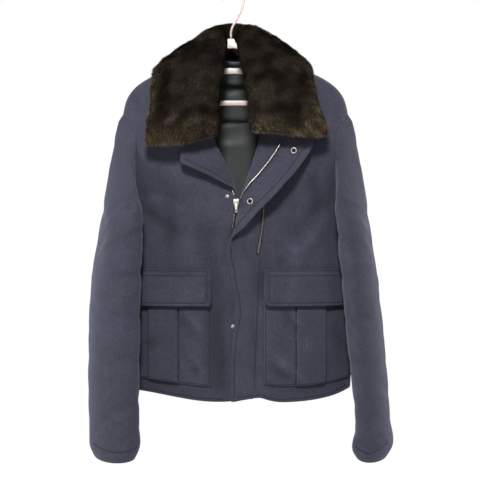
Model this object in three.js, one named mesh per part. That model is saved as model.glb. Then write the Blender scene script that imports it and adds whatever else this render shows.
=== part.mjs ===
import * as THREE from 'three';

// Wool jacket with a fur collar on a plastic hanger, in millimetres.
// The jacket faces -Y, up is +Z, and the origin is the inside top of the hanger's hook.
// Right and left are the wearer's, so the right front lies at -X.

// Driving sizes
const WOOL = 2;
const LINING = 1;
const SEAM = 0.3;
const LAY = 1.1;
const MIDDLE = 5;
const HEM = -815;
const UNDERARM = -440;
const SHOULDER_POINT = -262;
const ROLL_RADIUS = 4.5;
const PLACKET_LIFT = 8.5;
const POCKET_WIDTH = 184;
const POCKET_TOP = -584;
const POCKET_BOTTOM = -788;
const FLAP_TOP = -571;
const FLAP_DEPTH = 70;
const PLEAT_WIDTH = 57;
const CHAIN_WIDTH = 5.5;
const CHAIN_HEIGHT = 2;
const SNAP_SIDES = 8;

const point = (x, y, z) => new THREE.Vector3(x, y, z);
const clamp = (value, low, high) => Math.min(high, Math.max(low, value));
const mix = (a, b, t) => a + (b - a) * t;
const ease = (t) => t * t * (3 - 2 * t);
const steps = (count) => Array.from({ length: count + 1 }, (_, i) => i / count);

// A table is a list of rows with named columns, the first of which runs steadily down.
function table(columns, rows) {
  return rows.map((row) => Object.fromEntries(columns.map((name, i) => [name, row[i]])));
}

// Every column of a table at one value of its first column, on smooth curves through the rows.
function read(rows, value) {
  const names = Object.keys(rows[0]);
  const key = names[0];
  const down = rows[0][key] > rows[rows.length - 1][key] ? -1 : 1;
  let i = rows.findIndex((row) => down * row[key] >= down * value);
  if (i === -1) return { ...rows[rows.length - 1], [key]: value };
  if (i === 0) return { ...rows[0], [key]: value };
  const a = rows[i - 1];
  const b = rows[i];
  const before = rows[Math.max(0, i - 2)];
  const after = rows[Math.min(rows.length - 1, i + 1)];
  const span = b[key] - a[key];
  const t = (value - a[key]) / span;
  const found = { [key]: value };
  for (const name of names.slice(1)) {
    const slope = (b[name] - a[name]) / span;
    const slopeBefore = a === before ? slope : (a[name] - before[name]) / (a[key] - before[key]);
    const slopeAfter = b === after ? slope : (after[name] - b[name]) / (after[key] - b[key]);
    const start = gentle(slopeBefore, slope) * span;
    const end = gentle(slope, slopeAfter) * span;
    found[name] = a[name] * (1 + 2 * t) * (1 - t) ** 2 + start * t * (1 - t) ** 2
      + b[name] * t * t * (3 - 2 * t) - end * t * t * (1 - t);
  }
  return found;
}

// The slope at a row between two stretches: none at a turning point, so that no curve overshoots.
function gentle(one, other) {
  return one * other <= 0 ? 0 : 2 * one * other / (one + other);
}

// A line of points that can be read by its length.
class Line {
  constructor(points) {
    this.points = points;
    this.lengths = [0];
    for (let i = 1; i < points.length; i += 1) {
      this.lengths.push(this.lengths[i - 1] + points[i].distanceTo(points[i - 1]));
    }
  }

  get length() {
    return this.lengths[this.lengths.length - 1];
  }

  at(length) {
    const goal = clamp(length, 0, this.length);
    const i = clamp(this.lengths.findIndex((found) => found >= goal), 1, this.points.length - 1);
    const span = this.lengths[i] - this.lengths[i - 1] || 1;
    return this.points[i - 1].clone().lerp(this.points[i], (goal - this.lengths[i - 1]) / span);
  }

  // The length at which x first passes a value.
  lengthAtX(x) {
    const rising = this.points[this.points.length - 1].x > this.points[0].x ? 1 : -1;
    const i = clamp(this.points.findIndex((p) => rising * p.x >= rising * x), 1, this.points.length - 1);
    const a = this.points[i - 1];
    const b = this.points[i];
    const t = clamp((x - a.x) / (b.x - a.x || 1), 0, 1);
    return mix(this.lengths[i - 1], this.lengths[i], t);
  }
}

// The normals of a grid of points, by the cross product of its rows and columns.
function normalsOf(grid, closed) {
  const rows = grid.length;
  const columns = grid[0].length;
  const last = columns - 1;
  return grid.map((row, i) => row.map((_, j) => {
    const along = grid[Math.min(rows - 1, i + 1)][j].clone().sub(grid[Math.max(0, i - 1)][j]);
    const next = closed ? (j + 1) % columns : Math.min(last, j + 1);
    const before = closed ? (j + last) % columns : Math.max(0, j - 1);
    const across = row[next].clone().sub(row[before]);
    return along.cross(across).normalize();
  }));
}

// A closed body between two grids of the same size.
function between(front, back) {
  const rows = front.length;
  const columns = front[0].length;
  const points = [...front.flat(), ...back.flat()];
  const index = (layer, i, j) => layer * rows * columns + i * columns + j;
  const triangles = [];
  const quad = (a, b, c, d) => {
    const flat = points[a].distanceTo(points[c]) <= points[b].distanceTo(points[d]);
    triangles.push(...(flat ? [a, b, c, a, c, d] : [a, b, d, b, c, d]));
  };
  const wide = columns - 1;
  for (let i = 0; i < rows - 1; i += 1) {
    for (let j = 0; j < wide; j += 1) {
      quad(index(0, i, j), index(0, i + 1, j), index(0, i + 1, j + 1), index(0, i, j + 1));
      quad(index(1, i, j), index(1, i, j + 1), index(1, i + 1, j + 1), index(1, i + 1, j));
    }
  }
  for (let j = 0; j < wide; j += 1) {
    const end = rows - 1;
    quad(index(0, 0, j), index(0, 0, j + 1), index(1, 0, j + 1), index(1, 0, j));
    quad(index(0, end, j), index(1, end, j), index(1, end, j + 1), index(0, end, j + 1));
  }
  for (let i = 0; i < rows - 1; i += 1) {
    const end = columns - 1;
    quad(index(0, i, 0), index(1, i, 0), index(1, i + 1, 0), index(0, i + 1, 0));
    quad(index(0, i, end), index(0, i + 1, end), index(1, i + 1, end), index(1, i, end));
  }
  return solid(points, triangles);
}

// A geometry from points and triangles, turned round if its volume comes out negative.
function solid(points, triangles) {
  let volume = 0;
  for (let i = 0; i < triangles.length; i += 3) {
    const [a, b, c] = [0, 1, 2].map((k) => points[triangles[i + k]]);
    volume += a.clone().cross(b).dot(c);
  }
  const turned = volume < 0 ? [...triangles].reverse() : triangles;
  const geometry = new THREE.BufferGeometry();
  geometry.setAttribute('position', new THREE.Float32BufferAttribute(points.flatMap((p) => p.toArray()), 3));
  geometry.setIndex(turned);
  geometry.computeVertexNormals();
  return geometry;
}

// The grid moved along its normals. The distance may be a number or a function of row and column.
function moved(grid, distance, closed = false) {
  const normals = normalsOf(grid, closed);
  const far = (i, j) => (typeof distance === 'function' ? distance(i, j) : distance);
  return grid.map((row, i) => row.map((p, j) => p.clone().addScaledVector(normals[i][j], far(i, j))));
}

// A cloth wall whose outer face is the grid. The thickness is signed along the grid's normals.
function wall(grid, thickness) {
  return between(grid, moved(grid, thickness));
}

// A body panel's wall, whose inner face stops short of the shoulder seam's plane. The side is -1
// for the fronts and 1 for the back.
function panel(grid, thickness, side) {
  const inner = moved(grid, thickness);
  for (const p of inner.flat()) {
    if (p.z > SHOULDER_POINT && p.y * side < SEAM / 2) p.y = side * SEAM / 2;
  }
  return between(grid, inner);
}

// The body: where its panels end at the side, seen from the front on the wearer's right.
// The end runs down the shoulder seam, round the armhole and down the side seam.
const SIDE = table(['z', 'x', 'frontY', 'backY'], [
  [-143, -46, 0, 1],
  [-152, -70, 0, 1],
  [-164, -105, 0, 1],
  [-182, -154, 0, 1],
  [-194, -176, 0, 1],
  [-208, -197, 0, 1],
  [-225, -211, 0, 1],
  [-243, -218, -1, 2],
  [-262, -221, -3, 5],
  [-282, -204, -30, 32],
  [-300, -190, -46, 46],
  [-330, -187, -54, 52],
  [-370, -190, -48, 48],
  [-410, -197, -30, 32],
  [-440, -204, -5, 6],
  [-480, -212, 2, 3],
  [-550, -221, 4, 5],
  [-650, -226, 5, 6],
  [-750, -228, 5, 6],
  [-815, -226, 5, 6],
]);

// How far the fronts and the back stand off the hanger's plane, and how wide the rounding is.
const BODY = table(['z', 'front', 'back', 'reach'], [
  [-143, -14, 40, 52],
  [-165, -22, 44, 80],
  [-185, -30, 48, 110],
  [-210, -38, 52, 140],
  [-260, -48, 58, 165],
  [-320, -54, 62, 170],
  [-400, -60, 65, 175],
  [-500, -63, 66, 180],
  [-600, -66, 66, 185],
  [-700, -68, 66, 185],
  [-815, -66, 64, 185],
]);

// The hem's height across the fronts.
const HEM_LINE = table(['x', 'z'], [
  [-226, -806],
  [-177, -809],
  [-121, -817],
  [-63, -826],
  [-17, -829],
  [24, -822],
  [53, -819],
  [85, -829],
  [130, -828],
  [188, -821],
  [236, -806],
]);

// The largest folds of the fronts: a trough is positive, a ridge negative, in depth.
const FOLDS = table(['x', 'topX', 'topZ', 'bottomZ', 'width', 'depth'], [
  [-20, -56, -420, -826, 18, 4.5],
  [-150, -158, -450, -560, 14, 5],
  [49, 47, -540, -800, 8, 3],
  [-168, -172, -296, -440, 9, -12],
  [185, 182, -296, -420, 9, -9],
  [112, 120, -430, -560, 16, 4],
]);

function drape(x, z) {
  let depth = 0;
  for (const fold of FOLDS) {
    const t = clamp((fold.topZ - z) / (fold.topZ - fold.bottomZ), 0, 1);
    const ends = clamp((fold.topZ + 30 - z) / 60, 0, 1) * clamp((z - fold.bottomZ + 60) / 60, 0, 1);
    const off = (x - mix(fold.topX, fold.x, t)) / fold.width;
    depth += fold.depth * Math.exp(-off * off) * ease(ends);
  }
  return depth;
}

const mirrored = (x, side) => (side === 'right' ? x : 2 * MIDDLE - x);

// A quarter-round profile, from 0 at the side to 1 where the panel runs flat.
const ROUNDNESS = 1.8;
const rounded = (t) => (1 - (1 - clamp(t, 0, 1)) ** ROUNDNESS) ** (1 / ROUNDNESS);

// A point on the outer face of the body. Both x and side are the real ones.
function bodyPoint(face, side, x, z) {
  const end = read(SIDE, z);
  const body = read(BODY, z);
  const endX = mirrored(end.x, side);
  const t = Math.abs(x - endX) / body.reach;
  const from = face === 'front' ? Math.min(end.frontY, -SEAM / 2) : Math.max(end.backY, SEAM / 2);
  const depth = face === 'front' ? body.front : body.back;
  const hang = ease(clamp((-740 - z) / 75, 0, 1));
  const hem = face === 'front' ? read(HEM_LINE, x).z : mix(-806, -816, rounded(t));
  const fold = face === 'front' ? drape(x, z) * clamp(3 * t, 0, 1) : backDrape(x, z);
  return point(x, mix(from, depth, rounded(t)) + fold, z + hang * (hem - HEM));
}

// The back hangs in two long soft troughs from the shoulder blades.
function backDrape(x, z) {
  const grow = ease(clamp((-330 - z) / 300, 0, 1));
  return -6 * grow * (Math.exp(-(((x + 95) / 26) ** 2)) + Math.exp(-(((x - 100) / 28) ** 2)));
}

// A front's horizontal section, from the side seam to a given x near the middle.
const SECTION_STEPS = 48;
function frontSection(side, z, middleX) {
  const endX = mirrored(read(SIDE, z).x, side);
  return steps(SECTION_STEPS).map((t) => bodyPoint('front', side, mix(endX, middleX, t ** 2), z));
}

// The closed main zip, from the slider down to the hem, by the middle of its chain.
const ZIP = table(['z', 'x'], [
  [-424, 8],
  [-440, 7],
  [-466, 4],
  [-491, 0],
  [-506, 2],
  [-519, 8],
  [-530, 15],
  [-545, 26],
  [-560, 34],
  [-600, 37],
  [-815, 36],
]);

// The right front's edge: x is as far as it reaches, turn is how far the lapel folds over,
// in degrees, and leaf is the width past the fold.
const RIGHT_EDGE = table(['z', 'x', 'turn', 'leaf'], [
  [-143, -46, 0, 14],
  [-200, -47, 20, 16],
  [-240, -44, 90, 22],
  [-285, -40, 170, 36],
  [-325, -34, 173, 46],
  [-350, -21, 170, 74],
  [-364, -15, 169, 83],
  [-370, -11, 167, 78],
  [-378, -8, 167, 60],
  [-390, -3, 164, 38],
  [-403, 2, 150, 22],
  [-414, 5, 95, 12],
  [-424, 8, 30, 8],
  [-440, 9.7, 0, 8],
]);

// The left front's edge. Inner is the width from the fold to the zip's seam, negative where the
// seam lies before the fold, and strip is the placket's width past the seam.
const LEFT_EDGE = table(['z', 'x', 'turn', 'inner', 'strip'], [
  [-143, 56, 0, 14, 0],
  [-200, 56, 20, 16, 0],
  [-240, 55, 90, 24, 0],
  [-285, 53, 172, 36, 46],
  [-318, 51, 175, 38, 62],
  [-334, 47, 173, 36, 67],
  [-364, 38, 168, 26, 67],
  [-384, 31, 164, 18, 70],
  [-405, 23, 164, 6, 69],
  [-422, 17, 164, 0, 67],
  [-443, 11, 164, -5, 57],
  [-461, 8, 162, -6, 42],
  [-482, 5, 158, -7, 29],
  [-494, 3, 150, -9, 23],
  [-506, -3, 110, -16, 24],
  [-519, -7, 60, -22, 34],
  [-540, -10, 25, -30, 46],
  [-559, -8, 12, -40, 52],
  [-598, -1, 8, -42, 48],
  [-655, 8, 8, -34, 40],
  [-693, 1, 8, -40, 46],
  [-736, -3, 8, -43, 49],
  [-833, -3, 8, -42, 48],
]);

const LEFT_RISE = 6;
const STANDING_EDGE = 9;
const SEAM_CLEARANCE = 3.5;
const FOLD_STEPS = 6;
const FOLD_PAD = 2;

// A front's whole section at one height: along the chest, round the fold and out along the leaf.
function foldedSection(side, z) {
  const heading = side === 'right' ? 1 : -1;
  const edge = read(side === 'right' ? RIGHT_EDGE : LEFT_EDGE, z);
  const reachX = side === 'right' && z < UNDERARM ? read(ZIP, z).x + CHAIN_WIDTH / 2 : edge.x;
  const turn = THREE.MathUtils.degToRad(edge.turn);
  const leaf = side === 'right' ? edge.leaf : Math.max(edge.inner, 0) + edge.strip + Math.min(edge.inner, 0);
  const length = side === 'right' ? leaf : Math.max(leaf, edge.inner, 5);
  const straight = ROLL_RADIUS * Math.sin(turn) + length * Math.cos(turn);
  const extent = edge.turn < 90 ? straight : ROLL_RADIUS + WOOL;
  const foldX = reachX - heading * extent;
  const zip = read(ZIP, z);
  const seamX = zip.x + CHAIN_WIDTH / 2 + SEAM_CLEARANCE;
  const base = frontSection(side, z, foldX);
  const standing = ease(clamp((-392 - z) / 34, 0, 1)) * ease(clamp((z + 510) / 34, 0, 1));
  for (const p of base) {
    p.y -= STANDING_EDGE * standing * ease(clamp(1 - Math.abs(p.x - foldX) / 50, 0, 1));
  }
  if (side === 'left') {
    for (const p of base) {
      const edgeX = z < -495 ? seamX : foldX;
      const near = ease(clamp((edgeX + 42 - p.x) / 40, 0, 1)) * ease(clamp((-370 - z) / 60, 0, 1));
      const over = z < -495 ? ease(clamp((seamX - p.x) / 14, 0, 1)) : 0;
      p.y -= LEFT_RISE * near + (PLACKET_LIFT - LEFT_RISE) * over;
    }
  }
  const start = base[base.length - 1];
  const points = [...base];
  for (const t of steps(FOLD_STEPS).slice(1)) {
    const angle = turn * t;
    const across = heading * ROLL_RADIUS * Math.sin(angle);
    points.push(start.clone().add(point(across, -ROLL_RADIUS * (1 - Math.cos(angle)), 0)));
  }
  const foldEnd = points[points.length - 1];
  points.push(foldEnd.clone().add(point(heading * Math.cos(turn), -Math.sin(turn), 0).multiplyScalar(length)));
  const line = new Line(points.filter((p, i) => i === 0 || p.distanceTo(points[i - 1]) > 1e-6));
  const fold = new Line(base).length;
  const foldOut = fold + ROLL_RADIUS * turn;
  const seam = z < -500 ? line.lengthAtX(seamX) : foldOut + edge.inner;
  return { line, fold, foldOut, seam };
}

// Lengths along a section, spread between breaks, with a count of steps for each stretch.
function spread(breaks, counts, power = 1) {
  const lengths = [breaks[0]];
  counts.forEach((count, k) => {
    for (const t of steps(count).slice(1)) {
      lengths.push(mix(breaks[k], breaks[k + 1], k === 0 ? t ** power : t));
    }
  });
  return lengths;
}

const RIGHT_ROWS = [-143, -152, -164, -182, -196, -212, -232, -262, -285, -305, -325, -345, -358, -366,
  -372, -380, -391, -403, -414, -424, -440, -465, -491, -508, -524, -545, -580, -630, -690, -750, -795, -815];
const LEFT_ROWS = [-143, -152, -164, -182, -196, -212, -232, -262, -285, -305, -325, -345, -364, -384,
  -405, -422, -443, -461, -482, -494, -506, -519, -540, -559, -598, -655, -720, -780, -815];
const PLACKET_ROWS = [-289, ...LEFT_ROWS.filter((z) => z < -290)];
const CHEST_STEPS = 10;

function rightFrontGrid() {
  return RIGHT_ROWS.map((z) => {
    const { line, fold, foldOut } = foldedSection('right', z);
    const end = line.length;
    const breaks = [0, fold - FOLD_PAD, Math.min(foldOut + FOLD_PAD, end - 3), end];
    return spread(breaks, [CHEST_STEPS, 4, 3], 1.4).map((length) => line.at(length));
  });
}

function leftFrontGrid() {
  return LEFT_ROWS.map((z) => {
    const { line, fold, foldOut, seam } = foldedSection('left', z);
    const breaks = [0, Math.min(fold - FOLD_PAD, seam - 14), Math.min(foldOut + FOLD_PAD, seam - 5), seam];
    return spread(breaks, [CHEST_STEPS, 4, 3], 1.4).map((length) => line.at(length));
  });
}

function placketGrid() {
  return PLACKET_ROWS.map((z) => {
    const { line, fold, foldOut, seam } = foldedSection('left', z);
    const start = seam + SEAM;
    const end = line.length;
    const first = clamp(fold - FOLD_PAD, start + 3, end - 12);
    const second = clamp(foldOut + FOLD_PAD, first + 4, end - 5);
    return spread([start, first, second, end], [3, 4, 2]).map((length) => line.at(length));
  });
}

const BACK_ROWS = [-143, -150, -160, -161, -175, -190, -208, -232, -262, -285, -310, -345, -385, -420, -440,
  -480, -540, -600, -660, -720, -780, -815];

const BACK_STEPS = 14;

// The back's grid from side to side.
function backGrid(rows) {
  return rows.map((z) => {
    const rightX = read(SIDE, z).x;
    const leftX = 2 * MIDDLE - rightX;
    return steps(BACK_STEPS).map((t) => {
      const u = 0.5 - 0.5 * Math.sign(1 - 2 * t) * Math.abs(1 - 2 * t) ** 0.75;
      const x = mix(rightX, leftX, u);
      return bodyPoint('back', x < MIDDLE ? 'right' : 'left', x, z);
    });
  });
}

// Both sleeves hang in front of the body's sides. Each row gives where a sleeve reaches at its
// outer and inner edge, how far it comes forward and goes back, and how the front swings inward.
const SLEEVES = {
  right: table(['z', 'outerX', 'outerY', 'innerX', 'innerY', 'frontY', 'backX', 'backY'], [
    [-480, -260, -26, -171, -76, -100, -246, 8],
    [-540, -269, -28, -173, -78, -102, -257, 0],
    [-600, -277, -30, -175, -80, -103, -261, -4],
    [-672, -282, -34, -177, -82, -104, -260, -8],
    [-750, -283, -38, -177, -84, -105, -257, -12],
    [-822, -283, -42, -178, -86, -105, -256, -18],
    [-870, -282, -44, -178, -86, -104, -250, -22],
    [-900, -281, -46, -174, -86, -104, -246, -22],
    [-916, -280, -48, -178, -84, -102, -244, -24],
    [-930, -272, -50, -186, -82, -98, -240, -28],
  ]),
  left: table(['z', 'outerX', 'outerY', 'innerX', 'innerY', 'frontY', 'backX', 'backY'], [
    [-480, 270, -22, 199, -76, -100, 256, 10],
    [-540, 280, -22, 204, -76, -101, 262, 8],
    [-600, 288, -22, 209, -76, -101, 266, 6],
    [-672, 296, -24, 215, -76, -101, 272, 2],
    [-750, 303, -26, 223, -78, -101, 276, -2],
    [-822, 308, -28, 231, -78, -100, 280, -6],
    [-870, 310, -30, 236, -78, -98, 284, -8],
    [-900, 317, -32, 229, -78, -98, 284, -10],
    [-916, 316, -34, 227, -78, -96, 282, -12],
    [-930, 304, -36, 237, -78, -92, 276, -16],
  ]),
};
const SLEEVE_SIDES = 18;
const CUFF_SLANT = 9;
const ARMHOLE_GAP = 3.8;
const SLEEVE_ROWS = [-480, -510, -545, -585, -630, -680, -730, -780, -825, -860, -885, -902, -916, -930];

// The armhole's ring, by angle from the shoulder point round the front to the underarm.
const ARMHOLE = table(['angle', 'z'], [
  [0, -262],
  [45, -291],
  [90, -340],
  [135, -405],
  [180, -440],
]);

function armholePoint(side, angle) {
  const turned = angle > 180 ? 360 - angle : angle;
  const z = read(ARMHOLE, turned).z;
  const end = read(SIDE, z);
  const y = angle <= 180 ? end.frontY : end.backY;
  const out = side === 'right' ? -1 : 1;
  return point(mirrored(end.x, side) + out * ARMHOLE_GAP, y, z);
}

// A sleeve's ring at one height, through its outer, front, inner and back edges.
function sleeveRing(side, z, angle) {
  const row = read(SLEEVES[side], z);
  const outer = point(row.outerX, row.outerY, z);
  const inner = point(row.innerX, row.innerY, z);
  const middle = outer.clone().add(inner).multiplyScalar(0.5);
  const half = outer.clone().sub(middle);
  const front = point(middle.x, row.frontY, z);
  const back = point(row.backX, row.backY, z);
  const lift = front.clone().sub(back).multiplyScalar(0.5);
  const swell = front.clone().add(back).multiplyScalar(0.5).sub(middle);
  const a = THREE.MathUtils.degToRad(angle);
  const ring = middle.clone().addScaledVector(half, Math.cos(a)).addScaledVector(lift, Math.sin(a));
  ring.addScaledVector(swell, Math.sin(a) ** 2);
  const low = ease(clamp((-860 - z) / 70, 0, 1));
  ring.z -= low * CUFF_SLANT * Math.sin(a);
  ring.y += sleeveCrease(side, z, angle);
  return ring;
}

// Soft cross folds at the elbow, deepest on the inside of the arm.
function sleeveCrease(side, z, angle) {
  const at = side === 'right' ? [-560, -640, -726] : [-545, -620, -700];
  const inside = Math.exp(-(((angle - 130) / 60) ** 2));
  return at.reduce((sum, middle) => sum + 4 * inside * Math.exp(-(((z - middle) / 16) ** 2)), 0);
}

// How the sleeve's head swells between the armhole and its first level ring.
function headSwell(side, angle) {
  const out = side === 'right' ? -1 : 1;
  const fold = Math.exp(-(((angle - 128) / 42) ** 2));
  const back = Math.exp(-(((angle - 240) / 50) ** 2));
  const cap = Math.exp(-((Math.min(angle, 360 - angle) / 50) ** 2));
  const under = Math.exp(-(((angle - 207) / 34) ** 2));
  return point(out * (4 * cap - 15 * fold + 11 * under), -20 * fold + 10 * back - 6 * under, 5 * cap);
}

function sleeveGrid(side) {
  const angles = steps(SLEEVE_SIDES).slice(0, -1).map((t) => 360 * t);
  const head = [0, 0.06, 0.16, 0.3, 0.46, 0.64, 0.82].map((t) => angles.map((angle) => {
    const from = armholePoint(side, angle);
    const to = sleeveRing(side, SLEEVE_ROWS[0], angle);
    return from.lerp(to, t).addScaledVector(headSwell(side, angle), 4 * t * (1 - t));
  }));
  const arm = SLEEVE_ROWS.map((z) => angles.map((angle) => sleeveRing(side, z, angle)));
  return [...head, ...arm];
}

// Each sleeve is cut in two: a top piece round the outside and the front, and an under piece.
const SLEEVE_PIECES = { top: [-1, 10], under: [10, 17] };

function sleevePiece(side, piece) {
  const outer = sleeveGrid(side);
  const inner = moved(outer, side === 'right' ? -WOOL : WOOL, true);
  const [first, last] = SLEEVE_PIECES[piece];
  const trimmed = (grid) => grid.map((row) => {
    const picks = Array.from({ length: last - first + 1 }, (_, k) => (first + k + SLEEVE_SIDES) % SLEEVE_SIDES);
    const kept = picks.map((pick) => row[pick].clone());
    const inward = (end, next) => next.clone().sub(end).setLength(SEAM / 2);
    const start = kept[0].clone().add(inward(kept[0], kept[1]));
    const end = kept[kept.length - 1].clone().add(inward(kept[kept.length - 1], kept[kept.length - 2]));
    return [start, ...kept.slice(1, -1), end];
  });
  return between(trimmed(outer), trimmed(inner));
}

// The fur collar, station by station from the left wing's end round the back of the neck to the
// right wing's end: the neck seam, the top of the roll, the middle of the leaf and its outer edge.
const COLLAR = table(['station', 'neckX', 'neckY', 'neckZ', 'rollX', 'rollY', 'rollZ',
  'midX', 'midY', 'midZ', 'edgeX', 'edgeY', 'edgeZ'], [
  [-9, 45, -74, -292, 34, -92, -300, 108, -105, -308, 184, -94, -310],
  [-8, 46, -63, -255, 31, -84, -236, 105, -100, -268, 183, -90, -294],
  [-7, 46, -50, -222, 24, -70, -186, 98, -93, -226, 177, -80, -272],
  [-6, 47, -36, -195, 11, -52, -142, 90, -80, -186, 166, -66, -244],
  [-5, 49, -20, -160, 14, -32, -112, 88, -54, -156, 160, -44, -212],
  [-4, 53, -6, -139, 24, -12, -92, 94, -20, -125, 158, -11, -173],
  [-3, 53, 8, -138, 29, 6, -86, 94, 20, -124, 153, 30, -174],
  [-2, 43, 20, -142, 27, 24, -82, 88, 56, -130, 130, 66, -203],
  [-1, 26, 33, -142.9, 18, 40, -76, 48, 80, -138, 80, 92, -222],
  [0, 5, 37, -143.2, 0, 52, -70, 3, 84, -140, 5, 96, -226],
  [1, -18, 33, -142.9, -17, 42, -75, -40, 82, -140, -72, 92, -222],
  [2, -34, 20, -142, -24, 26, -82, -80, 58, -132, -124, 68, -203],
  [3, -44, 8, -138, -25, 8, -88, -90, 22, -128, -152, 32, -177],
  [4, -44, -6, -139, -22, -10, -94, -92, -18, -129, -159, -9, -178],
  [5, -40, -20, -160, -16, -30, -112, -85, -52, -160, -161, -42, -215],
  [6, -38, -36, -195, -15, -50, -142, -85, -78, -190, -161, -62, -250],
  [7, -37, -50, -225, -24, -68, -186, -92, -92, -232, -165, -76, -282],
  [8, -37, -62, -262, -28, -82, -240, -95, -98, -280, -168, -86, -306],
  [9, -36, -72, -300, -28, -90, -308, -98, -101, -322, -170, -90, -326],
]);
const COLLAR_STEPS = 30;
const ROLL_HALF_WIDTH = 8;
const ROLL_DROP = 6;
const FUR_THICKNESS = [4, 4, 5, 6, 7, 9, 11, 12, 9];

// The fur's outer face at one station: up the stand, over the roll and down the leaf.
function collarSection(station) {
  const row = read(COLLAR, station);
  const neck = point(row.neckX, row.neckY, row.neckZ);
  const roll = point(row.rollX, row.rollY, row.rollZ);
  const mid = point(row.midX, row.midY, row.midZ);
  const edge = point(row.edgeX, row.edgeY, row.edgeZ);
  const stand = neck.clone().sub(roll).normalize();
  const leaf = mid.clone().sub(roll).normalize();
  const down = stand.clone().add(leaf).normalize();
  const apart = leaf.clone().sub(stand).normalize();
  const inside = roll.clone().addScaledVector(down, ROLL_DROP).addScaledVector(apart, -ROLL_HALF_WIDTH);
  const outside = roll.clone().addScaledVector(down, ROLL_DROP).addScaledVector(apart, ROLL_HALF_WIDTH);
  const bow = mid.clone().multiplyScalar(2).sub(outside.clone().add(edge).multiplyScalar(0.5));
  const curve = new THREE.QuadraticBezierCurve3(outside, bow, edge);
  const leafPoints = [0, 0.25, 0.5, 0.78, 1].map((t) => curve.getPoint(t));
  return [neck, neck.clone().lerp(inside, 0.55), inside, roll, ...leafPoints];
}

function collarGeometry() {
  const grid = steps(COLLAR_STEPS).map((t) => collarSection(mix(-9, 9, t)));
  const ends = (i) => 1 - 0.3 * (i === 0 || i === COLLAR_STEPS ? 1 : 0);
  return between(grid, moved(grid, (i, j) => -FUR_THICKNESS[j] * ends(i)));
}

// A place on a front, by its height and its length along the section, raised off the outer face.
function onSection(line, length, rise) {
  const p = line.at(length);
  const along = line.at(length + 2).sub(line.at(length - 2));
  const normal = point(along.y, -along.x, 0).normalize();
  if (line.points[0].x > line.points[line.points.length - 1].x) normal.negate();
  return { place: p.clone().addScaledVector(normal, rise), normal };
}

// Pockets: each bag stands off its front like a shallow tray, with a box pleat down its middle
// and a flap over its top.
const POCKETS = { right: { innerX: -42 }, left: { innerX: 60 } };
const BAG_STAND = 6;
const BAG_GAP = 1.2;
const FLAP_SEAT = 2;
const BAG_EDGE = 12;
const BAG_ROWS = [0, 5, 12, 50, 90, 130, 165, 192, 199, 204];
const SQUEEZED = 0.2;

// The tray lies flatter towards the side, where the sleeve hangs against it.
function standOff(across) {
  return BAG_STAND * mix(1, SQUEEZED, ease(clamp((across - 118) / 50, 0, 1)));
}

function bagRise(across, down) {
  const deep = POCKET_TOP - POCKET_BOTTOM;
  const edge = Math.min(across, POCKET_WIDTH - across, down, deep - down);
  return BAG_GAP + WOOL + standOff(across) * ease(clamp(edge / BAG_EDGE, 0, 1));
}

function flapRise(across, drop) {
  const pleat = 1 - ease(clamp((Math.abs(across - POCKET_WIDTH / 2) - PLEAT_WIDTH / 2 - 3) / 14, 0, 1));
  const over = BAG_GAP + WOOL + standOff(across) + (LAY + WOOL) * (1 + pleat) + 0.6;
  return mix(FLAP_SEAT + WOOL, over, ease(clamp(drop / 15, 0, 1)));
}

function pocketGrid(side, acrosses, heights, rise) {
  return heights.map((z) => {
    const { line } = foldedSection(side, z);
    const inner = line.lengthAtX(POCKETS[side].innerX);
    return acrosses.map((across) => onSection(line, inner - across, rise(across, z)).place);
  });
}

function pocketPiece(side, acrosses, heights, rise) {
  const outer = pocketGrid(side, acrosses, heights, rise);
  const inner = pocketGrid(side, acrosses, heights, (across, z) => rise(across, z) - WOOL);
  return between(outer, inner);
}

function pocketBag(side) {
  const acrosses = [0, 5, 12, 36, 64, 94, 124, 145, 164, 175, 182, POCKET_WIDTH];
  const heights = BAG_ROWS.map((down) => POCKET_TOP - down);
  return pocketPiece(side, acrosses, heights, (across, z) => bagRise(across, POCKET_TOP - z));
}

function pocketPleat(side) {
  const middle = POCKET_WIDTH / 2;
  const acrosses = [-0.5, -0.25, 0, 0.25, 0.5].map((t) => middle + t * PLEAT_WIDTH);
  const heights = BAG_ROWS.slice(2).map((down) => POCKET_TOP - Math.min(down, 203));
  return pocketPiece(side, acrosses, heights, (across, z) => bagRise(across, POCKET_TOP - z) + LAY + WOOL);
}

function pocketFlap(side) {
  const drops = [0, 3, 6, 9, 12, 15, 30, 46, FLAP_DEPTH - 6, FLAP_DEPTH];
  const rows = drops.map((drop) => {
    const corner = drop === FLAP_DEPTH ? 5 : 0;
    const acrosses = steps(12).map((t) => mix(corner, POCKET_WIDTH - corner, t));
    const z = FLAP_TOP - drop;
    return [0, WOOL].map((less) => pocketGrid(side, acrosses, [z], (across) => flapRise(across, drop) - less)[0]);
  });
  return between(rows.map(([outer]) => outer), rows.map(([, inner]) => inner));
}

// A zip's chain: a flat strip of the given width along points, standing off them by its height.
function chainStrip(places, width) {
  const half = width / 2;
  const rows = places.map(({ place, normal }, i) => {
    const before = places[Math.max(0, i - 1)].place;
    const after = places[Math.min(places.length - 1, i + 1)].place;
    const across = after.clone().sub(before).cross(normal).setLength(half);
    return [place.clone().sub(across), place.clone().add(across)].map((p) => ({ p, normal }));
  });
  const at = (rise) => rows.map((row) => row.map(({ p, normal }) => p.clone().addScaledVector(normal, rise)));
  return between(at(CHAIN_HEIGHT), at(0));
}

// The main zip: closed from the slider to the hem on the right front's edge, and its left half
// running up the inner face of the turned-out lapel.
const CLOSED_ROWS = RIGHT_ROWS.filter((z) => z < -460);
const OPEN_ROWS = LEFT_ROWS.filter((z) => z > -430 && z < -320);

function closedChain() {
  const places = CLOSED_ROWS.map((z) => {
    const { line } = foldedSection('right', z);
    return onSection(line, line.lengthAtX(read(ZIP, z).x), LAY);
  });
  return chainStrip(places, CHAIN_WIDTH);
}

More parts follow.
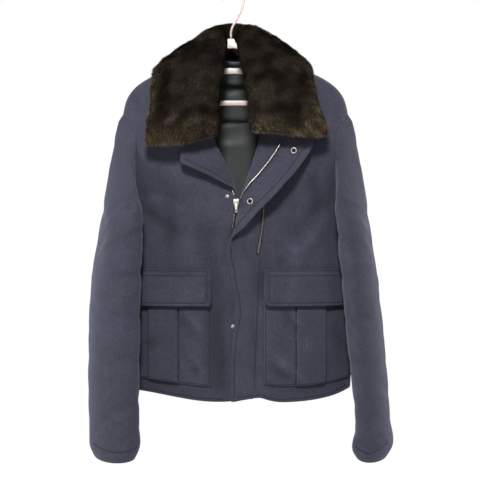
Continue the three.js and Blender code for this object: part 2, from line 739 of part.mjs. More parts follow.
// On the lapels the lining side of the cloth faces out, so the trims stand on that side.
function onFacing(side, z, length, rise = LAY) {
  const { line } = foldedSection(side, z);
  const found = onSection(line, length(foldedSection(side, z)), -WOOL - rise);
  return { place: found.place, normal: found.normal.negate() };
}

function openChain() {
  return chainStrip(OPEN_ROWS.map((z) => onFacing('left', z, ({ seam }) => seam)), CHAIN_WIDTH * 0.8);
}

const CHEST_ZIP = table(['z', 'x'], [
  [-412, 62],
  [-444, 59],
  [-475, 58],
  [-514, 53],
  [-546, 46],
]);
const CHEST_ROWS = LEFT_ROWS.filter((z) => z < -420 && z > -545);

function chestPlace(z, rise = 2 * LAY) {
  const { line } = foldedSection('left', z);
  return onSection(line, line.lengthAtX(read(CHEST_ZIP, z).x), rise);
}

// A flat piece cut from an outline in X and Z, standing on a place with its face to the front.
function plate(outline, depth, place) {
  const shape = new THREE.Shape(outline.map(([x, z]) => new THREE.Vector2(x, z)));
  const geometry = new THREE.ExtrudeGeometry(shape, { depth, bevelEnabled: false, steps: 1 });
  geometry.rotateX(Math.PI / 2);
  return geometry.translate(place.x, place.y, place.z);
}

const SLIDER_OUTLINE = [[-3, -9], [3, -9], [5.2, 2], [5.5, 8], [2.5, 9], [0, 6.5], [-2.5, 9], [-5.5, 8], [-5.2, 2]];
const PULL_OUTLINE = [[-1.6, 0.6], [1.6, 0.6], [2.4, -12], [2.4, -17], [1.2, -19], [-1.2, -19], [-2.4, -17], [-2.4, -12]];
const SLIDER_DEPTH = 6;
const PULL_DEPTH = 1.6;

// A snap's round piece: a profile of radius and height, turned about the cloth's normal.
function snap(profile, { place, normal }) {
  const geometry = new THREE.LatheGeometry(profile.map(([r, h]) => new THREE.Vector2(r, h)), SNAP_SIDES);
  const turn = new THREE.Quaternion().setFromUnitVectors(point(0, 1, 0), normal);
  return geometry.applyQuaternion(turn).translate(place.x, place.y, place.z);
}

const SOCKET = [[2.8, 0], [5.7, 0], [5.7, 1], [4.6, 1.8], [2.8, 1.6], [2.8, 0]];
const STUD = [[0, 0], [3.8, 0], [3.8, 0.6], [2.1, 1.1], [2.1, 2], [0, 2.2]];

// The frontmost face of the folded left front near the slider, on which the slider stands.
const SLIDER_Z = -444;
const SLIDER_REST = 0.6;
const PULL_DROP = 1;

function sliderPlace() {
  const { line } = foldedSection('left', SLIDER_Z);
  const near = line.points.filter((p) => p.x < 18).map((p) => p.y);
  return point(read(ZIP, SLIDER_Z).x, Math.min(...near) - SLIDER_REST, SLIDER_Z);
}

// A pull tab hangs from its slider's front, and its top turns just clear of it.
function pullAxis(slider) {
  return point(slider.x, slider.y - SLIDER_DEPTH - SEAM - PULL_DEPTH / 2, slider.z + PULL_DROP);
}

function pullTab(slider) {
  return plate(PULL_OUTLINE, PULL_DEPTH, pullAxis(slider).add(point(0, PULL_DEPTH / 2, 0)));
}

const chestSliderPlace = () => chestPlace(-426, 2 * LAY + CHAIN_HEIGHT + 1).place;

// Sockets on the placket's lining side. The upper two show on the turned-out lapel.
const SOCKETS = table(['z', 'x'], [
  [-342, 118],
  [-440, 34],
  [-556, 12],
  [-681, 14],
]);
const STUDS = table(['z', 'x', 'rise'], [
  [-430, -11, -0.6],
  [-556, 12, 1.1],
  [-681, 0, -0.1],
]);

function socketPlace({ z, x }) {
  const onLeaf = ({ line, foldOut }) => {
    const start = line.at(foldOut).x;
    return foldOut + ((x - start) * (line.length - foldOut)) / (line.at(line.length).x - start);
  };
  const flat = ({ line }) => line.lengthAtX(x);
  return onFacing('left', z, z > UNDERARM - 1 ? onLeaf : flat, z > UNDERARM ? 2.4 * LAY : LAY);
}

function studPlace({ z, x, rise }) {
  const { line } = foldedSection('right', z);
  return onSection(line, line.lengthAtX(x), rise);
}

// The highest stud lies on the right lapel, on the face that is turned to the chest.
function hiddenStudPlace() {
  const { line } = foldedSection('right', -318);
  return onSection(line, line.length - 18, LAY);
}

// The wool facing inside the back of the neck, and the satin lining below it, both laid on the
// inner face of the back.
const FACING_END = -160;
const LINING_END = -790;
const FACING_INSET = WOOL + SEAM;

function insideBack(high, low, thickness) {
  const outer = backGrid(BACK_ROWS);
  const keep = (grid) => grid.filter((_, i) => BACK_ROWS[i] <= high && BACK_ROWS[i] >= low).map((row) => row.slice(1, -1));
  return between(keep(moved(outer, FACING_INSET)), keep(moved(outer, FACING_INSET + thickness)));
}

// A short hanging loop: a narrow strap whose ends lie on the facing.
function hangingLoop() {
  const half = 22;
  const rows = steps(12).map((t) => {
    const x = MIDDLE - 3 + mix(-half, half, t);
    const sag = 1 - (2 * t - 1) ** 2;
    const back = bodyPoint('back', 'right', x, -156).y - FACING_INSET - WOOL - 5.2 - 4 * sag;
    const z = -150 - 5 * sag;
    return [point(x, back, z + 2), point(x, back, z - 2)];
  });
  const front = rows.map((row) => row.map((p) => p.clone().add(point(0, -1.2, 0))));
  return between(front, rows);
}

// The hanger: a hook whose inside top is the origin, a neck and two arms under the shoulders,
// and two bars between the arms.
const HOOK_INNER_RADIUS = 21;
const HOOK_THICKNESS = 7;
const ARM_DEPTH = 7;
const ARM_TOP = table(['x', 'z', 'height'], [
  [-22, -131, 11],
  [-46, -146.6, 14.9],
  [-70, -155.6, 14.9],
  [-105, -167.6, 14.9],
  [-154, -186.3, 14.9],
  [-176, -198.8, 14.9],
  [-187, -206.5, 14.9],
]);
const NECK_X = -4;
const FLARE = { half: 9, top: -121, height: 10 };
const NECK_TOP = -112;
const UPPER_BAR = { half: 76, top: -170.6, height: 11.5 };
const LOWER_BAR = { half: 180, top: -235.3, height: 10 };

function hookGeometry() {
  const radius = HOOK_INNER_RADIUS + HOOK_THICKNESS / 2;
  const centre = point(0, 0, -HOOK_INNER_RADIUS);
  const bend = steps(12).map((t) => THREE.MathUtils.degToRad(mix(215, -22, t)));
  const points = bend.map((a) => centre.clone().add(point(radius * Math.cos(a), 0, radius * Math.sin(a))));
  points.push(point(19, 0, -48), point(11, 0, -66), point(2, 0, -82), point(NECK_X, 0, -96), point(NECK_X, 0, NECK_TOP));
  const path = new THREE.CatmullRomCurve3(points, false, 'centripetal');
  const section = new THREE.Shape();
  section.absarc(0, 0, HOOK_THICKNESS / 2, 0, 2 * Math.PI);
  const options = { steps: 26, extrudePath: path, curveSegments: 2, bevelEnabled: false };
  return new THREE.ExtrudeGeometry(section, options);
}

function outlinePlate(points, depth) {
  const shape = new THREE.Shape(points.map((p) => new THREE.Vector2(p.x, p.z)));
  const geometry = new THREE.ExtrudeGeometry(shape, { depth, bevelEnabled: false, steps: 1 });
  return geometry.rotateX(Math.PI / 2).translate(0, depth / 2, 0);
}

function armsGeometry() {
  const flareX = (side) => NECK_X + (side === 'right' ? -FLARE.half : FLARE.half);
  const arm = (side, drop) => [
    point(flareX(side), 0, FLARE.top - drop * FLARE.height),
    ...ARM_TOP.map(({ x, z, height }) => point(mirrored(x, side), 0, z - drop * height)),
  ];
  const tip = (side) => [[-190, -216], [-190, -227], [-183, -235], [-170, -235], [-178, -224], [-178, -216], [-172, -210]]
    .map(([x, z]) => point(mirrored(x, side), 0, z));
  const under = (side) => arm(side, 1).slice(0, -1).reverse();
  const neck = [point(NECK_X - 6, 0, NECK_TOP - SEAM), point(NECK_X + 6, 0, NECK_TOP - SEAM)];
  const right = [...arm('right', 0), ...tip('right'), ...under('right')];
  const left = [...arm('left', 0), ...tip('left'), ...under('left')].reverse();
  return outlinePlate([neck[0], ...right, ...left, neck[1]], ARM_DEPTH);
}

function barGeometry({ half, top, height }, middle) {
  const corner = 2;
  const low = top - height;
  const outline = [[-half, top - corner], [-half + corner, top], [half - corner, top], [half, top - corner],
    [half, low + corner], [half - corner, low], [-half + corner, low], [-half, low + corner]];
  return outlinePlate(outline.map(([x, z]) => point(x + middle, 0, z)), ARM_DEPTH - 2);
}

const group = new THREE.Group();

// Colours and surfaces
const FINISHES = {
  wool: { color: '#3d3d4b', roughness: 0.92, metalness: 0 },
  fur: { color: '#1d1a18', roughness: 0.95, metalness: 0 },
  lining: { color: '#4b504e', roughness: 0.45, metalness: 0 },
  metal: { color: '#b9b9bd', roughness: 0.3, metalness: 1 },
  plastic: { color: '#efe2dc', roughness: 0.35, metalness: 0 },
};

function add(name, geometry, finish) {
  const mesh = new THREE.Mesh(geometry, new THREE.MeshStandardMaterial(FINISHES[finish]));
  mesh.name = name;
  group.add(mesh);
}

add('front_right', panel(rightFrontGrid(), -WOOL, -1), 'wool');
add('front_left', panel(leftFrontGrid(), WOOL, -1), 'wool');
add('placket', wall(placketGrid(), WOOL), 'wool');
add('back', panel(backGrid(BACK_ROWS), WOOL, 1), 'wool');
for (const side of ['right', 'left']) {
  add('sleeve_' + side + '_top', sleevePiece(side, 'top'), 'wool');
  add('sleeve_' + side + '_under', sleevePiece(side, 'under'), 'wool');
}
add('fur_collar', collarGeometry(), 'fur');
add('back_facing', insideBack(BACK_ROWS[0], FACING_END, WOOL - 0.5), 'wool');
add('back_lining', insideBack(FACING_END - 1, LINING_END, LINING), 'lining');
add('hanging_loop', hangingLoop(), 'lining');
for (const side of ['right', 'left']) {
  add('pocket_bag_' + side, pocketBag(side), 'wool');
  add('pocket_pleat_' + side, pocketPleat(side), 'wool');
  add('pocket_flap_' + side, pocketFlap(side), 'wool');
}
add('zip_closed_chain', closedChain(), 'metal');
add('zip_open_chain', openChain(), 'metal');
add('chest_zip_chain', chainStrip(CHEST_ROWS.map((z) => chestPlace(z)), CHAIN_WIDTH * 0.9), 'metal');
add('zip_slider', plate(SLIDER_OUTLINE, SLIDER_DEPTH, sliderPlace()), 'metal');
add('zip_pull', pullTab(sliderPlace()), 'metal');
add('chest_zip_slider', plate(SLIDER_OUTLINE, SLIDER_DEPTH - 2, chestSliderPlace()), 'metal');
add('chest_zip_pull', pullTab(chestSliderPlace().add(point(0, 2, 0))), 'metal');
SOCKETS.forEach((row, i) => add('snap_socket_' + (i + 1), snap(SOCKET, socketPlace(row)), 'metal'));
STUDS.forEach((row, i) => add('snap_stud_' + (i + 2), snap(STUD, studPlace(row)), 'metal'));
add('snap_stud_1', snap(STUD, hiddenStudPlace()), 'metal');
add('hanger_hook', hookGeometry(), 'plastic');
add('hanger_arms', armsGeometry(), 'plastic');
add('hanger_upper_bar', barGeometry(UPPER_BAR, MIDDLE), 'plastic');
add('hanger_lower_bar', barGeometry(LOWER_BAR, MIDDLE), 'plastic');

export default group;
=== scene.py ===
import math

import bmesh
import bpy
import numpy as np
from bpy.props import FloatProperty, FloatVectorProperty, IntProperty, PointerProperty
from mathutils import Matrix, Vector, noise
from mathutils.bvhtree import BVHTree


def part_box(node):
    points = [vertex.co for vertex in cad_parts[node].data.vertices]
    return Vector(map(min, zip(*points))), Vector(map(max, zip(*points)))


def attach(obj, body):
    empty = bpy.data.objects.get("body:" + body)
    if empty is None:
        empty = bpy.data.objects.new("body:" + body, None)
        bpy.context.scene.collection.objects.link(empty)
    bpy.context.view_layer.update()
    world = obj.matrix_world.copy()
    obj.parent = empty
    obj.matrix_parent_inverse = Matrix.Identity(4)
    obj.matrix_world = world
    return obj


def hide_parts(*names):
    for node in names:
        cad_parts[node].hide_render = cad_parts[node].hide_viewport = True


bl_info = {
    "name": "Wool jacket on a hanger",
    "version": (1, 0, 0),
    "blender": (4, 5, 0),
    "location": "View3D > Sidebar > Jacket",
    "description": "Builds the surfaces of a wool jacket with a fur collar over its solids",
    "category": "Add Mesh",
}

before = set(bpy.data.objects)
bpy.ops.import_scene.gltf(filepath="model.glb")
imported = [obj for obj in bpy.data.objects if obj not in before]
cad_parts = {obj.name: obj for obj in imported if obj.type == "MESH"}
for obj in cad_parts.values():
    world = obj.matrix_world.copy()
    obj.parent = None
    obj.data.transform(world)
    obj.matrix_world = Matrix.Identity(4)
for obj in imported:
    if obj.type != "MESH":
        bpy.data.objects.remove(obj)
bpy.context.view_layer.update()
MM = 0.001
JACKET = "jacket"
PULLS = {"zip_pull": "main_pull", "chest_zip_pull": "chest_pull"}


def colour(name, description, default):
    return FloatVectorProperty(
        name=name, description=description, default=default, subtype="COLOR", size=3, min=0, max=1)


def length(name, description, millimetres):
    return FloatProperty(
        name=name, description=description, default=millimetres * MM, min=0, unit="LENGTH",
        subtype="DISTANCE")


def factor(name, description, default):
    return FloatProperty(name=name, description=description, default=default, min=0)


class JacketColours(bpy.types.PropertyGroup):
    wool_dark: colour("Wool shade", "The wool's darker fibres", (0.0140, 0.0142, 0.0225))
    wool_light: colour("Wool light", "The wool's lighter fibres", (0.036, 0.036, 0.055))
    thread: colour("Thread", "The sewing thread", (0.020, 0.020, 0.031))
    tape: colour("Tape", "The woven zip tape", (0.008, 0.008, 0.012))
    fur_root: colour("Fur root", "The fur near the skin", (0.0085, 0.0066, 0.0056))
    fur_tip: colour("Fur tip", "The brown tips of the fur", (0.112, 0.086, 0.052))
    lining: colour("Lining", "The satin lining", (0.036, 0.041, 0.038))
    metal: colour("Metal", "The zips and snaps", (0.42, 0.40, 0.36))
    plastic: colour("Plastic", "The hanger", (0.46, 0.36, 0.335))


class JacketSizes(bpy.types.PropertyGroup):
    stitch: length("Stitch", "Length of one stitch", 3.0)
    stitch_gap: length("Stitch gap", "Gap between two stitches", 0.9)
    thread: length("Thread", "Thickness of the thread", 0.6)
    # Width of the painted shade line under the topstitching.
    shade_line: length("Stitch_shade", "Width of the line that the stitching presses in", 1.7)
    tooth_pitch: length("Tooth pitch", "Distance between two teeth of one side", 2.1)
    tooth_width: length("Tooth width", "Reach of a tooth across the chain", 2.5)
    fur_length: length("Fur length", "Usual length of a hair", 8.0)
    fur_width: length("Hair width", "Width of a hair at its root", 0.55)
    fur_inset: length("Fur inset", "How far the skin lies under the fur's solid", 4.2)
    fur_count: IntProperty(
        name="Hairs", description="Hairs on each wing of the collar", default=37000)
    creases: factor("Creases", "How deep the fronts' creases are", 2.3)
    # Painted shade: ridges are painted lighter and troughs darker by their crease depth.
    painted_fold_shade: factor("Crease_shading", "How much lighter ridges and darker troughs are", 0.36)
    flap_lift: length("Flap lift", "How far a pocket flap's lower edge stands off the pocket", 8.0)
    pleat_lift: length("Pleat lift", "How far a pocket's box pleat stands off more", 1.4)
    slub: length("Softness", "Height of the cloth's soft unevenness", 1.2)


def sizes():
    return bpy.context.scene.jacket_sizes


def colours():
    return bpy.context.scene.jacket_colours


# Small helpers

def pick(obj):
    """Deselects everything and makes one object the active one."""
    bpy.ops.object.select_all(action="DESELECT")
    obj.select_set(True)
    bpy.context.view_layer.objects.active = obj
    return obj


def finish_piece(obj, material, replaced=(), body=JACKET):
    """Gives a piece its material, its body and the solids it stands for."""
    obj.data.materials.clear()
    obj.data.materials.append(material)
    for polygon in obj.data.polygons:
        polygon.material_index = 0
    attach(obj, body)
    if replaced:
        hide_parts(*replaced)
    return obj


def new_object(name, data):
    obj = bpy.data.objects.new(name, data)
    bpy.context.scene.collection.objects.link(obj)
    return obj


def copy_of(node, name):
    """A free copy of a solid's mesh with its doubled points merged."""
    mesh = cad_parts[node].data.copy()
    obj = new_object(name, mesh)
    pick(obj)
    bpy.ops.object.mode_set(mode="EDIT")
    bpy.ops.mesh.select_all(action="SELECT")
    bpy.ops.mesh.remove_doubles(threshold=1e-6)
    bpy.ops.mesh.tris_convert_to_quads(face_threshold=math.radians(70), shape_threshold=math.radians(70))
    bpy.ops.object.mode_set(mode="OBJECT")
    return obj


def apply(obj, kind, **settings):
    """Adds one modifier to an object and applies it."""
    pick(obj)
    modifier = obj.modifiers.new(kind.lower(), kind)
    for key, value in settings.items():
        setattr(modifier, key, value)
    bpy.ops.object.modifier_apply(modifier=modifier.name)
    return obj


def smooth(obj, degrees=45):
    pick(obj)
    bpy.ops.object.shade_smooth_by_angle(angle=math.radians(degrees))
    return obj


def points_of(obj):
    co = np.zeros(len(obj.data.vertices) * 3)
    obj.data.vertices.foreach_get("co", co)
    return co.reshape(-1, 3)


def set_points(obj, co):
    obj.data.vertices.foreach_set("co", co.ravel())
    obj.data.update()


def table(columns, rows):
    return [dict(zip(columns, row)) for row in rows]


def ramp(value, low, high):
    t = np.clip((value - low) / (high - low), 0, 1)
    return t * t * (3 - 2 * t)


# Materials. A texture on the object's own coordinates is a node group, built once: its node, the
# inputs that each material sets, and its own settings.
TEXTURES = {
    "grain": ("ShaderNodeTexNoise", ("Scale", "Detail", "Roughness", "Distortion"), {}),
    "ribs": ("ShaderNodeTexWave", ("Scale", "Distortion"), {"bands_direction": "DIAGONAL"}),
}


def add_node(tree, kind, inputs=(), **values):
    """A node with its values set; inputs are pairs of a socket and its source or plain value."""
    node = tree.nodes.new(kind)
    for key, value in values.items():
        if hasattr(node, key):
            setattr(node, key, value)
        else:
            node.inputs[key.replace("_", " ")].default_value = value
    for socket, source in inputs:
        if isinstance(source, bpy.types.NodeSocket):
            tree.links.new(source, node.inputs[socket])
        else:
            node.inputs[socket].default_value = source
    return node


def object_place(tree):
    return tree.nodes.new("ShaderNodeTexCoord").outputs["Object"]


def texture_group(name):
    kind, labels, settings = TEXTURES[name]
    group = bpy.data.node_groups.new(name, "ShaderNodeTree")
    texture = add_node(group, kind, [("Vector", object_place(group))], **settings)
    for label in labels:
        socket = group.interface.new_socket(label, in_out="INPUT", socket_type="NodeSocketFloat")
        socket.default_value = texture.inputs[label].default_value
    group.interface.new_socket("Tone", in_out="OUTPUT", socket_type="NodeSocketFloat")
    entry = group.nodes.new("NodeGroupInput")
    for label in labels:
        group.links.new(entry.outputs[label], texture.inputs[label])
    group.links.new(texture.outputs["Fac"], group.nodes.new("NodeGroupOutput").inputs["Tone"])
    return group


def toned(tree, name, **values):
    """Places a texture group in a material with its own values, and gives its tone."""
    group = bpy.data.node_groups.get(name) or texture_group(name)
    return add_node(tree, "ShaderNodeGroup", node_tree=group, **values).outputs["Tone"]


def material(name, **shader):
    """A material with a Principled shader, whose uniform values are set on its own sockets."""
    made = bpy.data.materials.new(name)
    made.use_nodes = True
    bsdf = made.node_tree.nodes["Principled BSDF"]
    for key, value in shader.items():
        socket = bsdf.inputs[key.replace("_", " ")]
        socket.default_value = (*value, 1.0) if np.shape(value) == (3,) else value
    return made, made.node_tree, bsdf


def mixed(tree, share, one, other, kind="FLOAT"):
    parts = [("Factor", share), ("A", one), ("B", other)]
    return add_node(tree, "ShaderNodeMix", parts, data_type=kind).outputs["Result"]


def two_tone(tree, bsdf, share, dark, light):
    """Mixes two colours into the base colour, and gives the mixed colour."""
    colour_mix = mixed(tree, share, (*dark, 1), (*light, 1), "RGBA")
    tree.links.new(colour_mix, bsdf.inputs["Base Color"])
    return colour_mix


def maths(tree, operation, one, other):
    return add_node(tree, "ShaderNodeMath", [(0, one), (1, other)], operation=operation).outputs[0]


def ranged(tree, value, **ends):
    return add_node(tree, "ShaderNodeMapRange", [("Value", value)], **ends).outputs["Result"]


def shaded(tree, bsdf, rgb, by):
    """Scales a colour by a value on its way to the shader."""
    shade = add_node(tree, "ShaderNodeVectorMath", [(0, rgb), ("Scale", by)], operation="SCALE")
    tree.links.new(shade.outputs["Vector"], bsdf.inputs["Base Color"])


def bumped(tree, bsdf, height, distance, strength=1.0):
    bump = add_node(tree, "ShaderNodeBump", [("Height", height)], Strength=strength, Distance=distance)
    tree.links.new(bump.outputs["Normal"], bsdf.inputs["Normal"])


def scaled(rgb, by):
    return tuple(min(1.0, c * by) for c in rgb)


def wool_material():
    """Felt: clouded fibres with flecks of lint, with painted shade that makes ridges lighter and troughs
    darker.
    """
    c = colours()
    made, tree, bsdf = material(
        "wool", Roughness=0.85, Sheen_Weight=0.16, Sheen_Roughness=0.5, Sheen_Tint=(0.60, 0.62, 0.78),
        Specular_IOR_Level=0.18)
    cloud = toned(tree, "grain", Scale=38.0, Detail=4.0, Roughness=0.6)
    fibre = toned(tree, "grain", Scale=620.0, Detail=3.0, Roughness=0.7)
    fuzz = toned(tree, "grain", Scale=230.0, Detail=4.0, Roughness=0.65, Distortion=1.2)
    nap = maths(tree, "MULTIPLY", maths(tree, "ADD", fibre, fuzz), 0.5)
    tone = ranged(tree, mixed(tree, 0.85, cloud, nap), From_Min=0.36, From_Max=0.64)
    felt = two_tone(tree, bsdf, tone, c.wool_dark, c.wool_light)
    fleck = add_node(tree, "ShaderNodeTexVoronoi", [("Vector", object_place(tree))], Scale=95.0)
    lint = ranged(tree, fleck.outputs["Distance"], From_Min=0.05, From_Max=0.02)
    flecked = mixed(tree, lint, felt, (*scaled(c.wool_light, 1.35), 1), "RGBA")
    # Painted shade of the folds: the colour is scaled up on ridges and down in troughs by the stored
    # crease depth.
    pressed = add_node(tree, "ShaderNodeAttribute", attribute_name="pressed").outputs["Fac"]
    crease_shade_factor = ranged(tree, pressed, From_Min=-1.0, To_Min=1.0 + sizes().painted_fold_shade, To_Max=1.0 - sizes().painted_fold_shade)
    shaded(tree, bsdf, flecked, crease_shade_factor)
    bumped(tree, bsdf, nap, 0.0011, 0.65)
    return made


def lining_material():
    """Satin: fine diagonal ribs with soft clouds."""
    c = colours()
    made, tree, bsdf = material(
        "lining", Roughness=0.42, Anisotropic=0.5, Sheen_Weight=0.05, Specular_IOR_Level=0.22)
    ribs = toned(tree, "ribs", Scale=520.0, Distortion=1.5)
    satin = mixed(tree, 0.6, ribs, toned(tree, "grain", Scale=24.0, Detail=3.0))
    two_tone(tree, bsdf, satin, scaled(c.lining, 0.7), scaled(c.lining, 1.3))
    bumped(tree, bsdf, ribs, 0.00015, 0.4)
    return made


def fur_material():
    """A hair turns from the root's colour to the tip's by its strand: along, tone and brownness. The tone
    holds painted sheen in soft patches and a painted highlight towards the wings' rim.
    """
    c = colours()
    made, tree, bsdf = material("fur", Roughness=0.7, Specular_IOR_Level=0.0, IOR=1.0)
    strand = add_node(tree, "ShaderNodeAttribute", attribute_name="strand").outputs["Color"]
    along, tone, brown = add_node(tree, "ShaderNodeSeparateColor", [("Color", strand)]).outputs
    hair = two_tone(tree, bsdf, maths(tree, "MULTIPLY", along, brown), c.fur_root, c.fur_tip)
    # The painted sheen and the painted rim highlight scale the hair's colour.
    shaded(tree, bsdf, hair, ranged(tree, tone, To_Min=0.3, To_Max=2.0))
    return made


def skin_material():
    """The close under-fur, dark and matt, with a soft uneven height."""
    c = colours()
    made, tree, bsdf = material("fur_skin", Roughness=0.9, Specular_IOR_Level=0.0, IOR=1.0)
    clump = toned(tree, "grain", Scale=260.0, Detail=4.0)
    two_tone(tree, bsdf, clump, scaled(c.fur_root, 0.6), scaled(c.fur_root, 1.6))
    bumped(tree, bsdf, clump, 0.002)
    return made


def metal_material(name="metal", by=1.0):
    c = colours()
    made, tree, bsdf = material(name, Metallic=1.0)
    rubbed = toned(tree, "grain", Scale=420.0, Detail=3.0)
    two_tone(tree, bsdf, rubbed, scaled(c.metal, 0.75 * by), scaled(c.metal, 1.15 * by))
    tree.links.new(ranged(tree, rubbed, To_Min=0.30, To_Max=0.52), bsdf.inputs["Roughness"])
    return made


def plastic_material():
    c = colours()
    made, tree, bsdf = material("plastic", Roughness=0.36, Subsurface_Weight=0.15, Coat_Weight=0.1)
    cloud = toned(tree, "grain", Scale=30.0, Detail=3.0)
    two_tone(tree, bsdf, cloud, scaled(c.plastic, 0.94), scaled(c.plastic, 1.04))
    bumped(tree, bsdf, toned(tree, "grain", Scale=900.0, Detail=2.0), 0.0001, 0.3)
    return made


def ribbed_material(name, rgb, scale):
    """Thread, tape or a painted shade line: fine ribs with a matt surface."""
    made, tree, bsdf = material(name, Roughness=0.8, Sheen_Weight=0.05, Specular_IOR_Level=0.1)
    ribs = toned(tree, "ribs", Scale=scale, Distortion=2.0)
    two_tone(tree, bsdf, ribs, scaled(rgb, 0.7), scaled(rgb, 1.4))
    bumped(tree, bsdf, ribs, 0.0001, 0.5)
    return made


MATERIALS = {}
MAKERS = {
    "wool": wool_material,
    "lining": lining_material,
    "fur": fur_material,
    "skin": skin_material,
    "metal": metal_material,
    "teeth": lambda: metal_material("teeth", 0.62),
    "plastic": plastic_material,
    "thread": lambda: ribbed_material("thread", colours().thread, 900.0),
    # A painted shade line: dark wool colour where topstitching and the pleats' edges cast shade.
    "shade_line": lambda: ribbed_material("shade_line", scaled(colours().wool_dark, 0.8), 300.0),
    "tape": lambda: ribbed_material("tape", colours().tape, 700.0),
}


def mat(name):
    if name not in MATERIALS:
        MATERIALS[name] = MAKERS[name]()
    return MATERIALS[name]


# Cloth. Creases run along straight stretches in X and Z, in millimetres: a trough has a positive
# depth and a ridge a negative one.
FRONT_CREASES = table(("x0", "z0", "x1", "z1", "width", "depth"), [
    (-108, -654, -70, -700, 8, 2.6),
    (-94, -648, -58, -690, 7, -1.8),
    (-96, -742, -60, -778, 8, 2.4),
    (-80, -738, -48, -766, 6, -1.6),
    (-190, -700, -150, -724, 9, 1.8),
    (-200, -640, -188, -700, 10, 1.6),
    (98, -655, 128, -690, 8, 2.4),
    (112, -650, 142, -684, 7, -1.7),
    (70, -752, 128, -794, 9, 2.6),
    (84, -744, 140, -782, 7, -1.8),
    (196, -690, 222, -730, 10, 1.8),
    (-176, -452, -96, -506, 11, 2.6),
    (-160, -430, -92, -462, 9, -1.8),
    (-120, -410, -128, -560, 14, 1.8),
    (178, -440, 116, -500, 11, 2.4),
    (190, -466, 140, -530, 10, -1.8),
    (150, -380, 172, -460, 12, 2.2),
    (88, -520, 96, -566, 10, 1.6),
    (-34, -560, -26, -812, 15, 3.4),
    (-58, -470, -44, -566, 20, 2.4),
    (-88, -430, -84, -560, 18, -1.8),
    (60, -520, 58, -640, 13, 2.0),
    (120, -520, 130, -566, 16, -1.8),
    (-98, -750, -78, -762, 12, -2.2),
    (88, -752, 112, -764, 12, -2.2),
    (142, -712, 156, -722, 11, -1.8),
    (-58, -617, -55, -617, 6, -1.2),
    (76, -617, 79, -617, 6, -1.2),
    (-180, -800, -60, -806, 10, 1.2),
    (80, -806, 200, -800, 10, 1.2),
])
BACK_CREASES = table(("x0", "z0", "x1", "z1", "width", "depth"), [
    (-150, -300, -60, -420, 14, -3.0),
    (-168, -340, -90, -470, 12, 2.4),
    (160, -300, 72, -430, 14, -3.0),
    (178, -350, 104, -480, 12, 2.2),
    (-60, -520, -80, -800, 20, -3.2),
    (10, -420, 4, -810, 24, 2.6),
    (78, -540, 92, -800, 20, -3.0),
    (-180, -600, -120, -640, 12, 2.0),
    (190, -620, 126, -664, 12, 2.0),
    (-10, -290, 8, -520, 9, 3.2),
    (24, -250, 20, -500, 8, -2.8),
    (-2, -190, 4, -330, 10, 2.2),
    (-30, -260, -24, -430, 9, 2.6),
    (-120, -230, 130, -236, 16, 1.4),
    (-150, -770, 160, -778, 12, 1.0),
])
LINING_CREASES = table(("x0", "z0", "x1", "z1", "width", "depth"), [
    (-34, -190, 38, -200, 5, 3.0),
    (-34, -226, 38, -214, 5, 2.4),
    (-30, -292, 34, -274, 6, 3.2),
    (-30, -326, 34, -312, 6, 2.6),
    (-12, -250, -2, -430, 5, 3.6),
    (20, -280, 10, -450, 5, 3.2),
    (34, -250, 20, -400, 6, 3.0),
])
# Cross folds of the sleeves: height, the middle angle seen from above (0 outwards, 90 to the
# front), spread in degrees, how much the fold falls over 90 degrees, width and depth.
SLEEVE_FOLDS = table(("z", "angle", "spread", "fall", "width", "depth"), [
    (-440, 110, 60, 40, 11, 2.8),
    (-470, 95, 50, 30, 10, -2.0),
    (-506, 125, 55, 36, 10, 3.0),
    (-548, 100, 60, 20, 9, -2.4),
    (-582, 135, 60, 18, 9, 2.8),
    (-622, 80, 55, -14, 9, 2.0),
    (-660, 125, 55, -18, 9, 2.6),
    (-694, 90, 50, -22, 9, -2.0),
    (-742, 120, 60, -16, 10, 2.4),
    (-790, 75, 50, 20, 11, 1.8),
    (-838, 110, 60, 34, 11, 2.6),
    (-874, 80, 60, 42, 9, -2.0),
    (-896, 118, 50, 46, 8, 2.4),
    (-450, -60, 70, -30, 14, 3.0),
    (-530, -90, 70, 20, 12, 2.6),
    (-600, -70, 60, 24, 12, -2.2),
    (-680, -100, 70, -20, 12, 2.6),
    (-760, -75, 70, 18, 12, 2.0),
    (-850, -90, 70, -24, 12, 2.2),
    (-520, 10, 60, 30, 14, 2.2),
    (-640, -10, 60, -28, 12, 2.0),
    (-800, 12, 60, 26, 13, 2.0),
])


# How a sleeve's head is drawn in to the body's cloth, and the fronts' edges to the back's, in
# metres: above which height, from how near, the space that stays and the longest way.
SEWN = {"low": -0.452, "reach": 0.018, "gap": 0.0004, "most": 0.0065}
JOINED = {"low": -0.95, "reach": 0.011, "gap": 0.0002, "most": 0.005}

# Stretches in millimetres over which a press comes in: heights, drops below the hook, widths in
# from the lapels' outer reach, and depths behind the middle.
CHEST_HEIGHTS = (-560, -430)
LAPEL_WIDTHS = (0, 60)
LAPEL_REACH = 150
FLAP_DROPS = (578, 640)
BACK_DEPTHS = (8, 40)
BACK_DROPS = (170, 230)
SLEEVE_DROPS = (275, 330)
CUFF_HEIGHTS = (-940, -912)

# A crease fades at its ends, over a share of its length, and sways by so many millimetres.
CREASE_ENDS = (-0.25, 0.3)
SWAY = 3.0
# Crease depth in millimetres at which the painted shade of a ridge or trough is full.
FULLY_PRESSED = 5.0
ZIP_X = 5
SLEEVE_LEVELS = np.linspace(-930, -270, 24)
LEVEL_BAND = 40
FLAT = (1, 0, 1)


